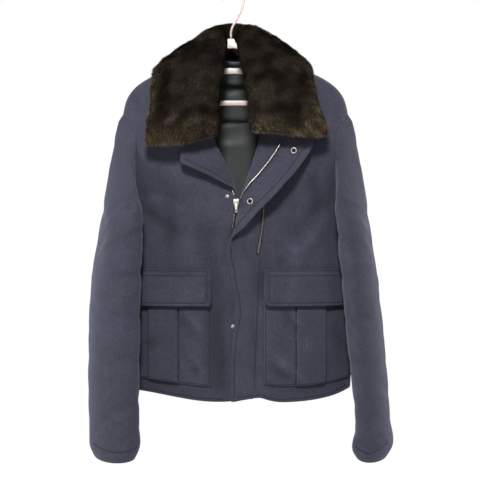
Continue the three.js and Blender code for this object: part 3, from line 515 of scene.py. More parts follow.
def creased(x, z, creases):
    """How deep the creases are at each place, in millimetres, uneven along each of them."""
    depth = np.zeros_like(x)
    for i, row in enumerate(creases):
        dx, dz = row["x1"] - row["x0"], row["z1"] - row["z0"]
        t = ((x - row["x0"]) * dx + (z - row["z0"]) * dz) / (dx * dx + dz * dz)
        inside = np.clip(t, 0, 1)
        sway = SWAY * np.sin(4.2 * t + 1.7 * i)
        off = np.hypot(x - row["x0"] - inside * dx, z - row["z0"] - inside * dz + sway)
        ends = ramp(t, *CREASE_ENDS) * ramp(1 - t, *CREASE_ENDS)
        uneven = 0.75 + 0.25 * np.sin(6.1 * t + 2.3 * i)
        depth += row["depth"] * ends * uneven * np.exp(-(off / row["width"]) ** 2)
    return depth


def soft_noise(co, scale, seed):
    shift = Vector((seed * 3.1, seed * 1.7, seed * 2.3))
    return np.array([noise.noise(Vector(p) * scale + shift) for p in co])


def slub(co, scale, seed):
    return sizes().slub / MM * soft_noise(co, scale, seed)


def mark_crease_shade(obj, depth):
    """Keeps how deep each point is pressed, for the painted shade that makes ridges lighter and troughs
    darker.
    """
    layer = obj.data.attributes.new("pressed", "FLOAT", "POINT")
    layer.data.foreach_set("value", np.clip(depth / FULLY_PRESSED, -1, 1).astype(np.float32))


def keep_out_of_lapels(x, z):
    """The creases fade towards the turned-out lapels and the zip."""
    return 1 - ramp(z, *CHEST_HEIGHTS) * ramp(LAPEL_REACH - np.abs(x - ZIP_X), *LAPEL_WIDTHS)


def press_front(obj):
    co = points_of(obj)
    x, z = co[:, 0] / MM, co[:, 2] / MM
    depth = sizes().creases * creased(x, z, FRONT_CREASES) * keep_out_of_lapels(x, z)
    depth += slub(co * FLAT, 24.0, 1)
    mark_crease_shade(obj, depth)
    if "flap" in obj.name:
        depth -= sizes().flap_lift / MM * ramp(-z, *FLAP_DROPS)
    if "pleat" in obj.name:
        depth -= sizes().pleat_lift / MM
    co[:, 1] += depth * MM
    set_points(obj, co)


def press_back(obj):
    co = points_of(obj)
    x, z = co[:, 0] / MM, co[:, 2] / MM
    depth = creased(x, z, BACK_CREASES)
    if "lining" in obj.name:
        depth += creased(x, z, LINING_CREASES)
    depth += 1.6 * slub(co * FLAT, 17.0, 2)
    depth *= ramp(co[:, 1] / MM, *BACK_DEPTHS) * ramp(-z, *BACK_DROPS)
    mark_crease_shade(obj, depth)
    co[:, 1] -= depth * MM
    set_points(obj, co)
    if obj.name == "back_cloth":
        close_seams(obj)


def close_seams(back):
    """Draws the edges of the back and the fronts together along the shoulder and side seams."""
    fronts = [bpy.data.objects["front_%s_cloth" % side] for side in SIDES]
    set_points(back, sewn_on(points_of(back), [front.name for front in fronts], JOINED))
    for front in fronts:
        set_points(front, sewn_on(points_of(front), [back.name], JOINED))


def press_sleeve(obj):
    """Folds a sleeve across, pushed towards or away from the line through its middle."""
    side, out = ("right", -1) if "right" in obj.name else ("left", 1)
    co = points_of(obj)
    z = co[:, 2] / MM
    parts = [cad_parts["sleeve_%s_%s" % (side, part)] for part in ("top", "under")]
    whole = np.concatenate([points_of(part) for part in parts])
    bands = [whole[np.abs(whole[:, 2] / MM - level) < LEVEL_BAND] for level in SLEEVE_LEVELS]
    middles = [(band.min(axis=0) + band.max(axis=0)) / 2 for band in bands]
    across = (co[:, 0] - np.interp(z, SLEEVE_LEVELS, [middle[0] for middle in middles])) * out
    ahead = np.interp(z, SLEEVE_LEVELS, [middle[1] for middle in middles]) - co[:, 1]
    angle = np.degrees(np.arctan2(ahead, across))
    depth = np.zeros_like(z)
    for i, row in enumerate(SLEEVE_FOLDS):
        turned = (angle - row["angle"] + 180) % 360 - 180
        drop = z - row["z"] + out * 4 - row["fall"] * turned / 90
        shape = np.exp(-(turned / row["spread"]) ** 2) * np.exp(-(drop / row["width"]) ** 2)
        depth += row["depth"] * shape * (1 + 0.2 * math.sin(2.1 * i + out))
    depth += slub(co, 22.0, 3 + out)
    depth *= ramp(-z, *SLEEVE_DROPS) * ramp(z, *CUFF_HEIGHTS)
    mark_crease_shade(obj, 0.45 * depth)
    radius = np.hypot(across, ahead)
    co[:, 0] -= out * across / radius * depth * MM
    co[:, 1] += ahead / radius * depth * MM
    set_points(obj, sewn_on(co, ["front_" + side + "_cloth", "back_cloth"], SEWN))


def sewn_on(co, names, seam):
    """Draws the points near other pieces' cloth in to it, so that the seam is closed."""
    trees = cloth_trees(names)
    for i in np.flatnonzero(co[:, 2] > seam["low"]):
        place = Vector(co[i])
        near, _, _, reach = min((tree.find_nearest(place) for tree in trees), key=lambda hit: hit[3])
        pull = float(ramp(seam["reach"] - reach, 0, seam["reach"] * 0.4))
        co[i] = place + (near - place).normalized() * min(reach - seam["gap"], seam["most"]) * pull
    return co


RIM_ANGLE = math.radians(50)
RIM_CREASE = 0.9
HEM_CORNERS = -0.79


def rim_kept(obj):
    """Marks the sharp edges of a cloth wall, so that smoothing keeps its outline."""
    mesh = bmesh.new()
    mesh.from_mesh(obj.data)
    layer = mesh.edges.layers.float.new("crease_edge")
    for edge in mesh.edges:
        if len(edge.link_faces) == 2 and edge.calc_face_angle(0) > RIM_ANGLE:
            edge[layer] = RIM_CREASE
    corner = mesh.verts.layers.float.new("crease_vert")
    for vert in mesh.verts:
        if vert.co.z < HEM_CORNERS and sum(edge[layer] > 0 for edge in vert.link_edges) > 2:
            vert[corner] = 1.0
    mesh.to_mesh(obj.data)
    mesh.free()


# The pockets' pieces: the flat cut in metres, and what each rests on.
SIDES = ("right", "left")
POCKET_CUTS = (
    ("bag", 0.19, 0.213, 0.0403, "front_"),
    ("pleat", 0.058, 0.204, 0.0118, "pocket_bag_"),
    ("flap", 0.186, 0.079, 0.0146, "pocket_bag_"),
)

# Every cloth piece: its solid, smoothing steps, press, flat cut in metres and what it rests on.
CLOTH = table(("node", "levels", "press", "width", "length", "area", "rests"), [
    ("front_right", 2, press_front, 0.29, 0.69, 0.165, "hanger_arms"),
    ("front_left", 2, press_front, 0.26, 0.69, 0.141, "hanger_arms"),
    ("placket", 2, press_front, 0.08, 0.56, 0.0273, "front_left"),
    ("back", 2, press_back, 0.52, 0.68, 0.305, "hanger_arms"),
    ("sleeve_right_top", 3, press_sleeve, 0.214, 0.66, 0.1175, "front_right"),
    ("sleeve_right_under", 2, press_sleeve, 0.136, 0.66, 0.0718, "back"),
    ("sleeve_left_top", 3, press_sleeve, 0.202, 0.66, 0.113, "front_left"),
    ("sleeve_left_under", 2, press_sleeve, 0.128, 0.66, 0.0645, "back"),
    *[("pocket_%s_%s" % (part, side), 2, press_front, wide, tall, area, under + side)
      for part, wide, tall, area, under in POCKET_CUTS for side in SIDES],
    ("back_lining", 2, press_back, 0.48, 0.63, 0.24, "back"),
    ("back_facing", 1, None, 0.175, 0.0205, 0.0034, "back"),
])


def make_cloth(*names):
    for row in CLOTH:
        if row["node"] not in names:
            continue
        obj = copy_of(row["node"], row["node"] + "_cloth")
        rim_kept(obj)
        apply(obj, "SUBSURF", levels=row["levels"], render_levels=row["levels"])
        if row["press"]:
            row["press"](obj)
        smooth(obj, 50)
        slot = "lining" if "lining" in row["node"] else "wool"
        finish_piece(obj, mat(slot), [row["node"]])


# The fur collar

# The skin's relief: height in millimetres, fineness and seed. The wings' rim hangs lower.
RELIEF = ((3.0, 34.0, 7), (1.6, 80.0, 8))
RIM_HANG = np.array((0, -0.001, -0.009))


def fur_skin():
    """The collar's skin lies inside the fur's solid by the depth of the fur."""
    obj = copy_of("fur_collar", "fur_skin")
    apply(obj, "SUBSURF", levels=2, render_levels=2)
    obj.data.update()
    normals = np.zeros(len(obj.data.vertices) * 3)
    obj.data.vertices.foreach_get("normal", normals)
    co = points_of(obj)
    relief = sum(height * soft_noise(co, scale, seed) for height, scale, seed in RELIEF) * MM
    inward = normals.reshape(-1, 3) * (sizes().fur_inset * 0.7 + relief)[:, None]
    set_points(obj, co - inward + rim_of_leaf(co)[:, None] * RIM_HANG)
    smooth(obj, 180)
    finish_piece(obj, mat("skin"), ["fur_collar"])
    return obj


def triangles_of(obj):
    obj.data.calc_loop_triangles()
    index = np.zeros(len(obj.data.loop_triangles) * 3, int)
    obj.data.loop_triangles.foreach_get("vertices", index)
    corners = points_of(obj)[index.reshape(-1, 3)]
    normal = np.cross(corners[:, 1] - corners[:, 0], corners[:, 2] - corners[:, 0])
    area = np.linalg.norm(normal, axis=1)
    return corners, normal / np.maximum(area, 1e-12)[:, None], area / 2


def unit(vectors):
    return vectors / np.maximum(np.linalg.norm(vectors, axis=1), 1e-9)[:, None]


NECK = np.array((0.005, 0.0))
NECK_RADIUS = 0.05
FRONT_Y = -0.05
HAIR_LEVELS = (0.0, 0.34, 0.68, 1.0)
# What a hair's way is made of, as shares, and what bends it on at each level.
WAY = {"flow": 0.8, "rise": 0.62, "rise_more": 0.2, "clump": 0.6, "wave": 0.5, "jitter": 0.22}
BEND = {"flow": 0.35, "clump": 0.18, "droop": -0.16, "in": 0.12}
CLUMP_SCALE = 62.0
WAVE_SCALE = 19.0
UNDERSIDE_SHARE = 0.12
SWIRL_SEED = 14


def hair_roots(rng, skin, choose, count):
    """Random places on the chosen part of the skin, few of them underneath, and its normals."""
    corners, normals, areas = triangles_of(skin)
    middle = corners.mean(axis=1)
    outward = middle[:, :2] - NECK
    radius = np.linalg.norm(outward, axis=1)
    under = (normals[:, :2] * outward).sum(axis=1) / np.maximum(radius, 1e-6) < -0.25
    weight = areas * choose(middle) * np.where(under & (radius > NECK_RADIUS), UNDERSIDE_SHARE, 1.0)
    face = rng.choice(len(areas), size=count, p=weight / weight.sum())
    a, b = rng.random((2, count))
    flip = a + b > 1
    a[flip], b[flip] = 1 - a[flip], 1 - b[flip]
    tri = corners[face]
    root = tri[:, 0] + a[:, None] * (tri[:, 1] - tri[:, 0]) + b[:, None] * (tri[:, 2] - tri[:, 0])
    return root, normals[face]


def hair_flow(root, normal):
    """The way the fur lies along the skin: outwards from the neck and down."""
    ahead = root[:, 1] < FRONT_Y
    flow = np.zeros_like(root)
    flow[:, :2] = unit(root[:, :2] - NECK) * 0.75
    flow[:, 2] = -1.0 - 0.2 * ahead
    flow[:, 0] *= np.where(ahead, 0.6, 1.0)
    return unit(flow - normal * (flow * normal).sum(axis=1)[:, None])


def swirl(root, scale):
    return np.array([noise.noise_vector(Vector(p) * scale) for p in root])


def hair_strips(rng, root, normal):
    """The two edges of each hair's strip at every level, and its tip."""
    count = len(root)
    flow = hair_flow(root, normal)
    clump = swirl(root, CLUMP_SCALE)
    jitter = rng.normal(size=root.shape)
    rise = (WAY["rise"] + WAY["rise_more"] * rng.random(count))[:, None]
    heading = unit(flow * WAY["flow"] + normal * rise + clump * WAY["clump"]
                   + swirl(root, WAVE_SCALE) * WAY["wave"] + jitter * WAY["jitter"])
    full = sizes().fur_length * (0.62 + 0.5 * rng.random(count)) * (1 + 0.35 * rim_of_leaf(root))
    side = unit(np.cross(heading, normal + 0.45 * rng.normal(size=root.shape)))
    width = sizes().fur_width * (0.7 + 0.6 * rng.random(count))
    bend = flow * BEND["flow"] + clump * BEND["clump"] + np.array((0, 0, BEND["droop"]))
    centre = root - normal * 0.001
    strips = []
    for before, level in zip(HAIR_LEVELS, HAIR_LEVELS[1:]):
        half = side * (width * 0.5 * (1 - 0.55 * before))[:, None]
        strips += [centre - half, centre + half]
        centre = centre + heading * (full * (level - before))[:, None]
        heading = unit(heading + bend - normal * BEND["in"])
    return [*strips, centre]


def hair_mesh(name, strips):
    """One mesh of all hairs: two four-sided faces and a three-sided tip for each."""
    count, per = len(strips[0]), len(strips)
    start = np.arange(count)[:, None] * per
    quads = [start + np.array((k, k + 1, k + 3, k + 2)) for k in (0, 2)]
    tips = start + np.array((4, 5, 6))
    loops = np.concatenate([np.concatenate(quads).ravel(), tips.ravel()])
    totals = np.concatenate([np.full(2 * count, 4), np.full(count, 3)])
    mesh = bpy.data.meshes.new(name)
    mesh.vertices.add(count * per)
    mesh.vertices.foreach_set("co", np.stack(strips, axis=1).ravel())
    mesh.loops.add(len(loops))
    mesh.loops.foreach_set("vertex_index", loops)
    mesh.polygons.add(len(totals))
    mesh.polygons.foreach_set("loop_start", np.concatenate([[0], np.cumsum(totals)[:-1]]))
    mesh.update(calc_edges=True)
    return mesh


def paint_hair(rng, mesh, root):
    """Gives each hair its place along the strand, its tone and its brownness; the tone is painted sheen in
    soft patches, random for each hair, with a painted highlight towards the rim.
    """
    count = len(root)
    edge = rim_of_leaf(root)
    # Painted sheen: soft patches of lighter and darker tone stand in for the shading of clumps; each hair
    # also differs at random.
    painted_sheen_patch = soft_noise(root, 46.0, 5) + 0.8 * soft_noise(root, 17.0, 6)
    shade = np.clip(0.36 + 1.1 * painted_sheen_patch + 0.3 * (rng.random(count) - 0.5), 0, 1)
    brown = 0.16 + 0.75 * edge + 0.3 * rng.normal(size=count) * (0.25 + edge)
    along = np.repeat(HAIR_LEVELS, 2)[:-1]
    paint = np.ones((count, len(along), 4), np.float32)
    paint[:, :, 0] = along[None, :] ** 1.5
    # Painted highlight: the tone is lighter towards the wings' rim.
    paint[:, :, 1] = np.clip(shade + 0.25 * edge, 0, 1)[:, None]
    paint[:, :, 2] = np.clip(brown, 0, 1)[:, None]
    layer = mesh.color_attributes.new("strand", "FLOAT_COLOR", "POINT")
    layer.data.foreach_set("color", paint.ravel())


def grow(name, skin, choose, seed, share=1.0):
    """Hairs on the chosen part of the skin, each a tapering strip that lies over and droops."""
    rng = np.random.default_rng(seed)
    count = int(sizes().fur_count * share) // 1
    root, normal = hair_roots(rng, skin, choose, count)
    mesh = hair_mesh(name, hair_strips(rng, root, normal))
    paint_hair(rng, mesh, root)
    return finish_piece(new_object(name, mesh), mat("fur"))


def rim_of_leaf(points):
    """How near the hair's root is to the lower and outer rim of the two wings, from 0 to 1."""
    x, y, z = np.abs(points[:, 0] - NECK[0]), points[:, 1], -points[:, 2]
    rim = np.maximum(ramp(z, 0.262, 0.312), ramp(x, 0.132, 0.172) * ramp(z, 0.14, 0.24))
    return rim * ramp(-y, 0.0, 0.05)


def front_part(side):
    return lambda p: ((p[:, 1] < 0) & ((p[:, 0] - NECK[0]) * side > 0)).astype(float)


def make_collar():
    """The swirls of the hair take the clock as their seed, unless one is set first."""
    noise.seed_set(SWIRL_SEED)
    skin = fur_skin()
    grow("fur_wing_right", skin, front_part(-1), 11)
    grow("fur_wing_left", skin, front_part(1), 12)
    grow("fur_back", skin, lambda p: (p[:, 1] >= 0).astype(float), 13, 0.8)


# Small repeated pieces: one is modelled, and its copies are joined into one mesh.

def stamped(name, pattern, places):
    """One mesh of the pattern at every place, each a 4 by 4 matrix."""
    base = points_of(pattern)
    faces = [list(p.vertices) for p in pattern.data.polygons]
    ones = np.c_[base, np.ones(len(base))]
    points = np.concatenate([(np.array(place) @ ones.T).T[:, :3] for place in places])
    polygons = [[v + k * len(base) for v in face] for k in range(len(places)) for face in faces]
    mesh = bpy.data.meshes.new(name)
    mesh.from_pydata(points.tolist(), [], polygons)
    mesh.update()
    bpy.data.objects.remove(pattern)
    return new_object(name, mesh)


def placed(centre, along, normal, scale):
    """A matrix whose Y runs along the line and whose Z stands off the surface."""
    y = along.normalized()
    x = y.cross(normal).normalized()
    z = x.cross(y)
    turn = Matrix((x, y, z)).transposed().to_4x4()
    return Matrix.Translation(centre) @ turn @ Matrix.Diagonal((*scale, 1))


def primitive(add, name, **settings):
    """Adds one of Blender's primitive meshes, named, with its place and turn applied."""
    add(**settings)
    obj = bpy.context.active_object
    obj.name = name
    bpy.ops.object.transform_apply(location=True, rotation=True)
    return obj


def rounded(obj, width, segments, degrees):
    """Bevels the sharp edges and smooths the rest."""
    apply(obj, "BEVEL", width=width, segments=segments, limit_method="ANGLE")
    return smooth(obj, degrees)


def thread_pattern():
    obj = primitive(bpy.ops.mesh.primitive_cylinder_add, "thread", vertices=6, radius=0.5, depth=1,
                    rotation=(math.pi / 2, 0, 0))
    return apply(obj, "BEVEL", width=0.16, segments=1)


def tooth_pattern():
    obj = primitive(bpy.ops.mesh.primitive_cube_add, "tooth", size=1)
    return apply(obj, "BEVEL", width=0.16, segments=1)


def cloth_trees(names):
    graph = bpy.context.evaluated_depsgraph_get()
    return [BVHTree.FromObject(bpy.data.objects[name], graph) for name in names]


def on_cloth(trees, x, z, side=-1):
    """The outermost place of the cloth at one X and Z in millimetres, seen from the front or back."""
    start = Vector((x * MM, side * 0.3, z * MM))
    best = None
    for tree in trees:
        place, normal, _, reach = tree.ray_cast(start, Vector((0, -side, 0)))
        if place is not None and (best is None or reach < best[2]):
            best = (place, normal if normal.y * side > 0 else -normal, reach)
    return best


def resampled(line, step):
    """Places along a line of (x, z) in millimetres, one for every step."""
    points = [Vector(p) for p in line]
    found = []
    carry = 0.0
    for a, b in zip(points, points[1:]):
        span = (b - a).length
        while carry <= span:
            found.append(a.lerp(b, carry / span))
            carry += step
        carry -= span
    return found


def stitch_places(trees, line, side=-1):
    s = sizes()
    step = (s.stitch + s.stitch_gap) / MM
    spots = [on_cloth(trees, p.x, p.y, side) for p in resampled(line, step)]
    places = []
    for one, other in zip(spots, spots[1:]):
        if one is None or other is None or (other[0] - one[0]).length > 2.2 * step * MM:
            continue
        along = other[0] - one[0]
        centre = one[0] + along.normalized() * s.stitch / 2 + one[1] * s.thread * 0.12
        places.append(placed(centre, along, one[1], (s.thread, s.stitch, s.thread * 0.8)))
    return places


FRONT_CLOTH = [row["node"] + "_cloth" for row in CLOTH if row["press"] is press_front]

# Topstitching seen from the front, as lines of (x, z) in millimetres.
POCKET_EDGES = {"right": (-216, -46), "left": (66, 230)}
WELT = (-574, -583)
FLAP_TOP = -576
FLAP_LOW = -635
BAG_TOP = -645
BAG_INSET = 3.5
CORNER = 3


def pocket_lines():
    """A line round each flap, the two lines of its welt, and a line round each bag."""
    lines = []
    for outer, inner in POCKET_EDGES.values():
        left, right, low = outer + 4, inner - 4, FLAP_LOW + CORNER
        lines.append([(left, FLAP_TOP), (left, low), (left + CORNER, FLAP_LOW),
                      (right - CORNER, FLAP_LOW), (right, low), (right, FLAP_TOP)])
        lines += [[(outer, z), (inner, z)] for z in WELT]
    return lines + [bag_seam("pocket_bag_%s_cloth" % side) for side in POCKET_EDGES]


def bag_seam(name):
    """A line that runs down one side of a pocket bag, along its lower edge and up the other side."""
    co = points_of(bpy.data.objects[name]) / MM
    left, right = co[:, 0].min() + BAG_INSET, co[:, 0].max() - BAG_INSET
    across = np.linspace(left + 5, right - 5, 9)
    low = [co[np.abs(co[:, 0] - x) < 8, 2].min() + BAG_INSET for x in across]
    return [(left, BAG_TOP), (left, low[0] + 5), *zip(across, low), (right, low[-1] + 5), (right, BAG_TOP)]


# Lines just outside each pleat's two edges, for the painted shade along them.
def pleat_edges():
    lines = []
    for side in POCKET_EDGES:
        co = points_of(bpy.data.objects["pocket_pleat_%s_cloth" % side]) / MM
        for x in (co[:, 0].min() - 0.6, co[:, 0].max() + 0.6):
            lines.append([(x, BAG_TOP), (x, co[:, 2].min() + 4)])
    return lines


STITCHES = [
    [(-2, -526), (-3, -540), (-1, -559), (4, -575), (6, -598), (13, -625), (15, -655), (13, -671),
     (8, -693), (4, -736), (3, -790), (4, -818)],
    [(138, -335), (120, -361), (98, -391), (72, -419), (53, -437), (34, -455), (16, -476), (1, -497)],
    [(-92, -358), (-70, -369), (-44, -380), (-24, -393), (-8, -404)],
    [(52, -552), (50, -600), (46, -680), (43, -760), (42, -810)],
    [(-218, -800), (-177, -803), (-121, -811), (-63, -820), (-17, -823)],
    [(12, -817), (24, -816), (53, -813), (85, -823), (130, -822), (188, -815), (226, -800)],
]
CUFF_STITCHES = [
    [(-271, -905), (-246, -914), (-221, -918), (-198, -914), (-177, -906)],
    [(228, -903), (243, -914), (258, -920), (280, -914), (301, -901)],
]
BACK_STITCHES = [
    [(-214, -796), (-120, -799), (0, -801), (120, -799), (224, -796)],
    [(5, -172), (4, -480), (5, -806)],
]


# Painted shade lines: the step along a line in millimetres, and the longest jump between two spots and the
# rise off the cloth in metres.
SHADE_LINE_STEP = 3.0
SHADE_LINE_JUMP = 0.007
SHADE_LINE_RISE = 0.00012


def shade_line(name, trees, lines, side=-1):
    """Painted shade of the line that topstitching presses into thick cloth: a narrow dark band under the
    thread.
    """
    half = sizes().shade_line / 2
    points, faces = [], []
    for line in lines:
        spots = [on_cloth(trees, p.x, p.y, side) for p in resampled(line, SHADE_LINE_STEP)]
        for one, other in zip(spots, spots[1:]):
            if one is None or other is None or (other[0] - one[0]).length > SHADE_LINE_JUMP:
                continue
            across = (other[0] - one[0]).cross(one[1]).normalized() * half
            first = len(points)
            for place, normal, _ in (one, other):
                low = place + normal * SHADE_LINE_RISE
                points += [low - across, low + across]
            faces.append((first, first + 1, first + 3, first + 2))
    mesh = bpy.data.meshes.new(name)
    mesh.from_pydata(points, [], faces)
    return finish_piece(new_object(name, mesh), mat("shade_line"))


def sew(name, trees, lines, side=-1):
    places = [p for line in lines for p in stitch_places(trees, line, side)]
    finish_piece(smooth(stamped(name, thread_pattern(), places)), mat("thread"))


def make_stitching():
    front = cloth_trees(FRONT_CLOTH)
    lines = [*STITCHES, *pocket_lines()]
    # Painted shade lines go under the stitching and along the pleats' edges.
    shade_line("shade_line_front", front, [*lines, *pleat_edges()])
    shade_line("shade_line_cuffs", cloth_trees(["sleeve_right_top_cloth", "sleeve_left_top_cloth"]), CUFF_STITCHES)
    sew("stitching_front", front, lines)
    back = cloth_trees(["back_cloth"])
    shade_line("shade_line_back", back, BACK_STITCHES, 1)
    sew("stitching_back", back, BACK_STITCHES, 1)


# Zips

def chain_rows(node):
    """The rows of a chain's strip: middle, direction across, and normal, from its four corners."""
    corners = {tuple(round(c, 6) for c in v.co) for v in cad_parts[node].data.vertices}
    corners = sorted(corners, key=lambda c: -c[2])
    rows = []
    for k in range(0, len(corners) - 3, 4):
        four = [Vector(c) for c in corners[k:k + 4]]
        pairs = [((a - b).length, i, j) for i, a in enumerate(four) for j, b in enumerate(four) if i < j]
        _, i, j = min(pairs)
        middle = sum(four, Vector()) / 4
        across = (middle * 2 - (four[i] + four[j])).normalized()
        across = across if across.x > 0 else -across
        high, low = sorted((four[i], four[j]), key=lambda c: c.y)
        normal = (high - low).normalized()
        rows.append((middle + normal * 0.001, across, normal))
    return rows


def along_rows(rows, step):
    """Places at even steps along the rows, with the direction across, the normal and the way on."""
    found = []
    carry = 0.0
    for (a, ax, an), (b, bx, bn) in zip(rows, rows[1:]):
        span = (b - a).length
        while carry <= span:
            t = carry / span
            across, normal = ax.lerp(bx, t).normalized(), an.lerp(bn, t).normalized()
            found.append((a.lerp(b, t), across, normal, (b - a).normalized()))
            carry += step
        carry -= span
    return found


# A tooth: how far from the middle it sits, as a share of its width, how much of the step it fills
# in a closed and an open chain, and its rise and thickness in metres.
TOOTH = {"aside": 0.2, "closed": 0.86, "open": 0.52, "rise": 0.0004, "thick": 0.0022}
OPEN_LEAN = 0.4
TAPE_RISE = 0.0016

# X and Z in metres where the left row of teeth parts, and the right row in millimetres.
PARTING = (0.0150, -0.4345)
RIGHT_HALF = [(7, -437), (5, -430), (2, -422), (-1, -415)]


def teeth(name, rows, both, lean=0):
    """A row of teeth along a chain: locked from both sides, or one side alone, leaning to it."""
    s = sizes()
    step = s.tooth_pitch / (2 if both else 1)
    thin = step * TOOTH["closed" if both else "open"]
    places = []
    for k, (middle, across, normal, along) in enumerate(along_rows(rows, step)):
        side = (1 if k % 2 else -1) if both else lean
        centre = middle + across * side * s.tooth_width * TOOTH["aside"] + normal * TOOTH["rise"]
        places.append(placed(centre, along, normal, (s.tooth_width, thin, TOOTH["thick"])))
    obj = stamped(name, tooth_pattern(), places)
    return finish_piece(smooth(obj, 30), mat("teeth"))


def surface_rows(names, line):
    trees = cloth_trees(names)
    spots = [on_cloth(trees, x, z) for x, z in line]
    return [(place + normal * TAPE_RISE, Vector((1, 0, 0)), normal) for place, normal, _ in spots]


def make_zips():
    for node in ("zip_closed_chain", "zip_open_chain", "chest_zip_chain"):
        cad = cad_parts[node]
        cad.data.materials.clear()
        cad.data.materials.append(mat("tape"))
    teeth("teeth_closed", chain_rows("zip_closed_chain"), True)
    teeth("teeth_chest", chain_rows("chest_zip_chain"), True)
    rows = chain_rows("zip_open_chain")
    place, across, normal = rows[-1]
    rows.append((Vector((PARTING[0], place.y - 0.001, PARTING[1])), across, normal))
    teeth("teeth_open_left", rows, False, OPEN_LEAN)
    teeth("teeth_open_right", surface_rows(["front_right_cloth"], RIGHT_HALF), False, OPEN_LEAN)


# A slider's bridge and the hole in its pull tab, in metres: from the tab's top to the bridge's
# axis, and from there down to the hole.
BRIDGE = {"major_radius": 0.0026, "minor_radius": 0.0006, "major_segments": 24, "minor_segments": 8}
BRIDGE_DROP = 0.0006
HOLE = {"vertices": 20, "radius": 0.0012, "depth": 0.006}
HOLE_DROP = 0.0145


def make_sliders():
    """Each slider keeps its solid's outline with rounded edges, and gets a bridge for its pull tab."""
    for node, pull in (("zip_slider", "zip_pull"), ("chest_zip_slider", "chest_zip_pull")):
        obj = rounded(copy_of(node, node + "_body"), 0.0011, 3, 40)
        finish_piece(obj, mat("metal"), [node])
        low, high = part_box(pull)
        axis = Vector(((low.x + high.x) / 2, (low.y + high.y) / 2, high.z - BRIDGE_DROP))
        bridge = primitive(bpy.ops.mesh.primitive_torus_add, node + "_bridge", location=axis,
                           rotation=(0, math.pi / 2, 0), **BRIDGE)
        finish_piece(smooth(bridge, 60), mat("metal"))
        tab = copy_of(pull, pull + "_tab")
        apply(tab, "BEVEL", width=0.0004, segments=2, limit_method="ANGLE")
        drill = primitive(bpy.ops.mesh.primitive_cylinder_add, "drill", rotation=(math.pi / 2, 0, 0),
                          location=axis - Vector((0, 0, HOLE_DROP)), **HOLE)
        apply(tab, "BOOLEAN", operation="DIFFERENCE", object=drill, solver="EXACT")
        bpy.data.objects.remove(drill)
        finish_piece(smooth(tab, 40), mat("metal"), [pull], PULLS[pull])


def facing_of(node):
    """The middle of a round trim and the direction it faces, from its solid."""
    co = np.array([v.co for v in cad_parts[node].data.vertices])
    middle = (co.min(axis=0) + co.max(axis=0)) / 2
    _, _, axes = np.linalg.svd(co - co.mean(axis=0))
    normal = axes[2] if axes[2][1] < 0 else -axes[2]
    return Vector(middle), Vector(normal)


def turned_ring(name, radius, section, place):
    ring = primitive(bpy.ops.mesh.primitive_torus_add, name, major_radius=radius, minor_radius=section,
                     major_segments=40, minor_segments=12, **place)
    return smooth(ring, 60)


def turned_disc(name, radius, depth, place):
    disc = primitive(bpy.ops.mesh.primitive_cylinder_add, name, vertices=32, radius=radius, depth=depth,
                     **place)
    return rounded(disc, depth * 0.3, 3, 40)


# The parts of a snap: its solid, the part, its shape, radius and thickness, and how far it stands
# out along the way the snap faces, all in metres. The first part of each stands for the solid.
SNAP_PARTS = table(("solid", "part", "shape", "radius", "thick", "out", "look"), [
    ("snap_socket", "rim", turned_ring, 0.0049, 0.0010, 0.0, "metal"),
    ("snap_socket", "cup", turned_disc, 0.0045, 0.0009, -0.0005, "tape"),
    ("snap_socket", "spring", turned_ring, 0.0021, 0.0004, -0.0001, "tape"),
    ("snap_stud", "base", turned_disc, 0.0038, 0.0007, -0.0007, "metal"),
    ("snap_stud", "knob", turned_disc, 0.0021, 0.0016, 0.0003, "metal"),
])


def make_snaps():
    for k in (1, 2, 3, 4):
        for row in SNAP_PARTS:
            node = "%s_%d" % (row["solid"], k)
            middle, normal = facing_of(node)
            turn = normal.to_track_quat("Z", "Y").to_euler()
            place = {"location": middle + normal * row["out"], "rotation": turn}
            obj = row["shape"](node + "_" + row["part"], row["radius"], row["thick"], place)
            replaced = [node] if row["part"] in ("rim", "base") else ()
            finish_piece(obj, mat(row["look"]), replaced)


def make_loop():
    obj = copy_of("hanging_loop", "hanging_loop_strap")
    apply(obj, "SUBSURF", levels=2, render_levels=2)
    finish_piece(smooth(obj, 60), mat("lining"), ["hanging_loop"])


def make_hanger():
    hook = copy_of("hanger_hook", "hanger_hook_rod")
    apply(hook, "SUBSURF", levels=2, render_levels=2)
    finish_piece(smooth(hook, 60), mat("plastic"), ["hanger_hook"])
    for node in ("hanger_arms", "hanger_upper_bar", "hanger_lower_bar"):
        obj = rounded(copy_of(node, node + "_moulded"), 0.0012, 3, 40)
        finish_piece(obj, mat("plastic"), [node])


# Stage

PHOTO = {"x": 0.014, "y": -2.0, "z": -0.514, "lens": 75.0, "sensor": 36.0}
FLOOR = {"size": 4, "location": (0, 0, -1.6)}
SOFT_LIGHT = 0.15
LIT = (0.0, 0.0, -0.5)
LIGHTS = table(("name", "place", "size", "watts"), [
    ("key", (-0.12, -2.35, 1.10), 0.5, 120),
    ("fill", (1.7, -2.2, 0.1), 1.8, 11),
    ("back", (0.2, 2.4, 0.8), 1.2, 115),
    ("side_right", (-2.7, -0.7, 0.1), 0.8, 62),
    ("side_left", (2.8, 0.3, 0.1), 1.2, 45),
])


def area_light(name, place, size, watts):
    lamp = bpy.data.lights.new(name, "AREA")
    lamp.shape = "DISK"
    lamp.size = size
    lamp.energy = watts
    obj = new_object(name, lamp)
    obj.location = place
    obj.rotation_euler = (Vector(LIT) - Vector(place)).to_track_quat("-Z", "Y").to_euler()


def make_camera():
    camera = bpy.data.cameras.new("camera")
    camera.lens = PHOTO["lens"]
    camera.sensor_width = PHOTO["sensor"]
    camera.clip_end = 50
    eye = new_object("camera", camera)
    eye.location = (PHOTO["x"], PHOTO["y"], PHOTO["z"])
    eye.rotation_euler = (math.pi / 2, 0, 0)
    bpy.context.scene.camera = eye


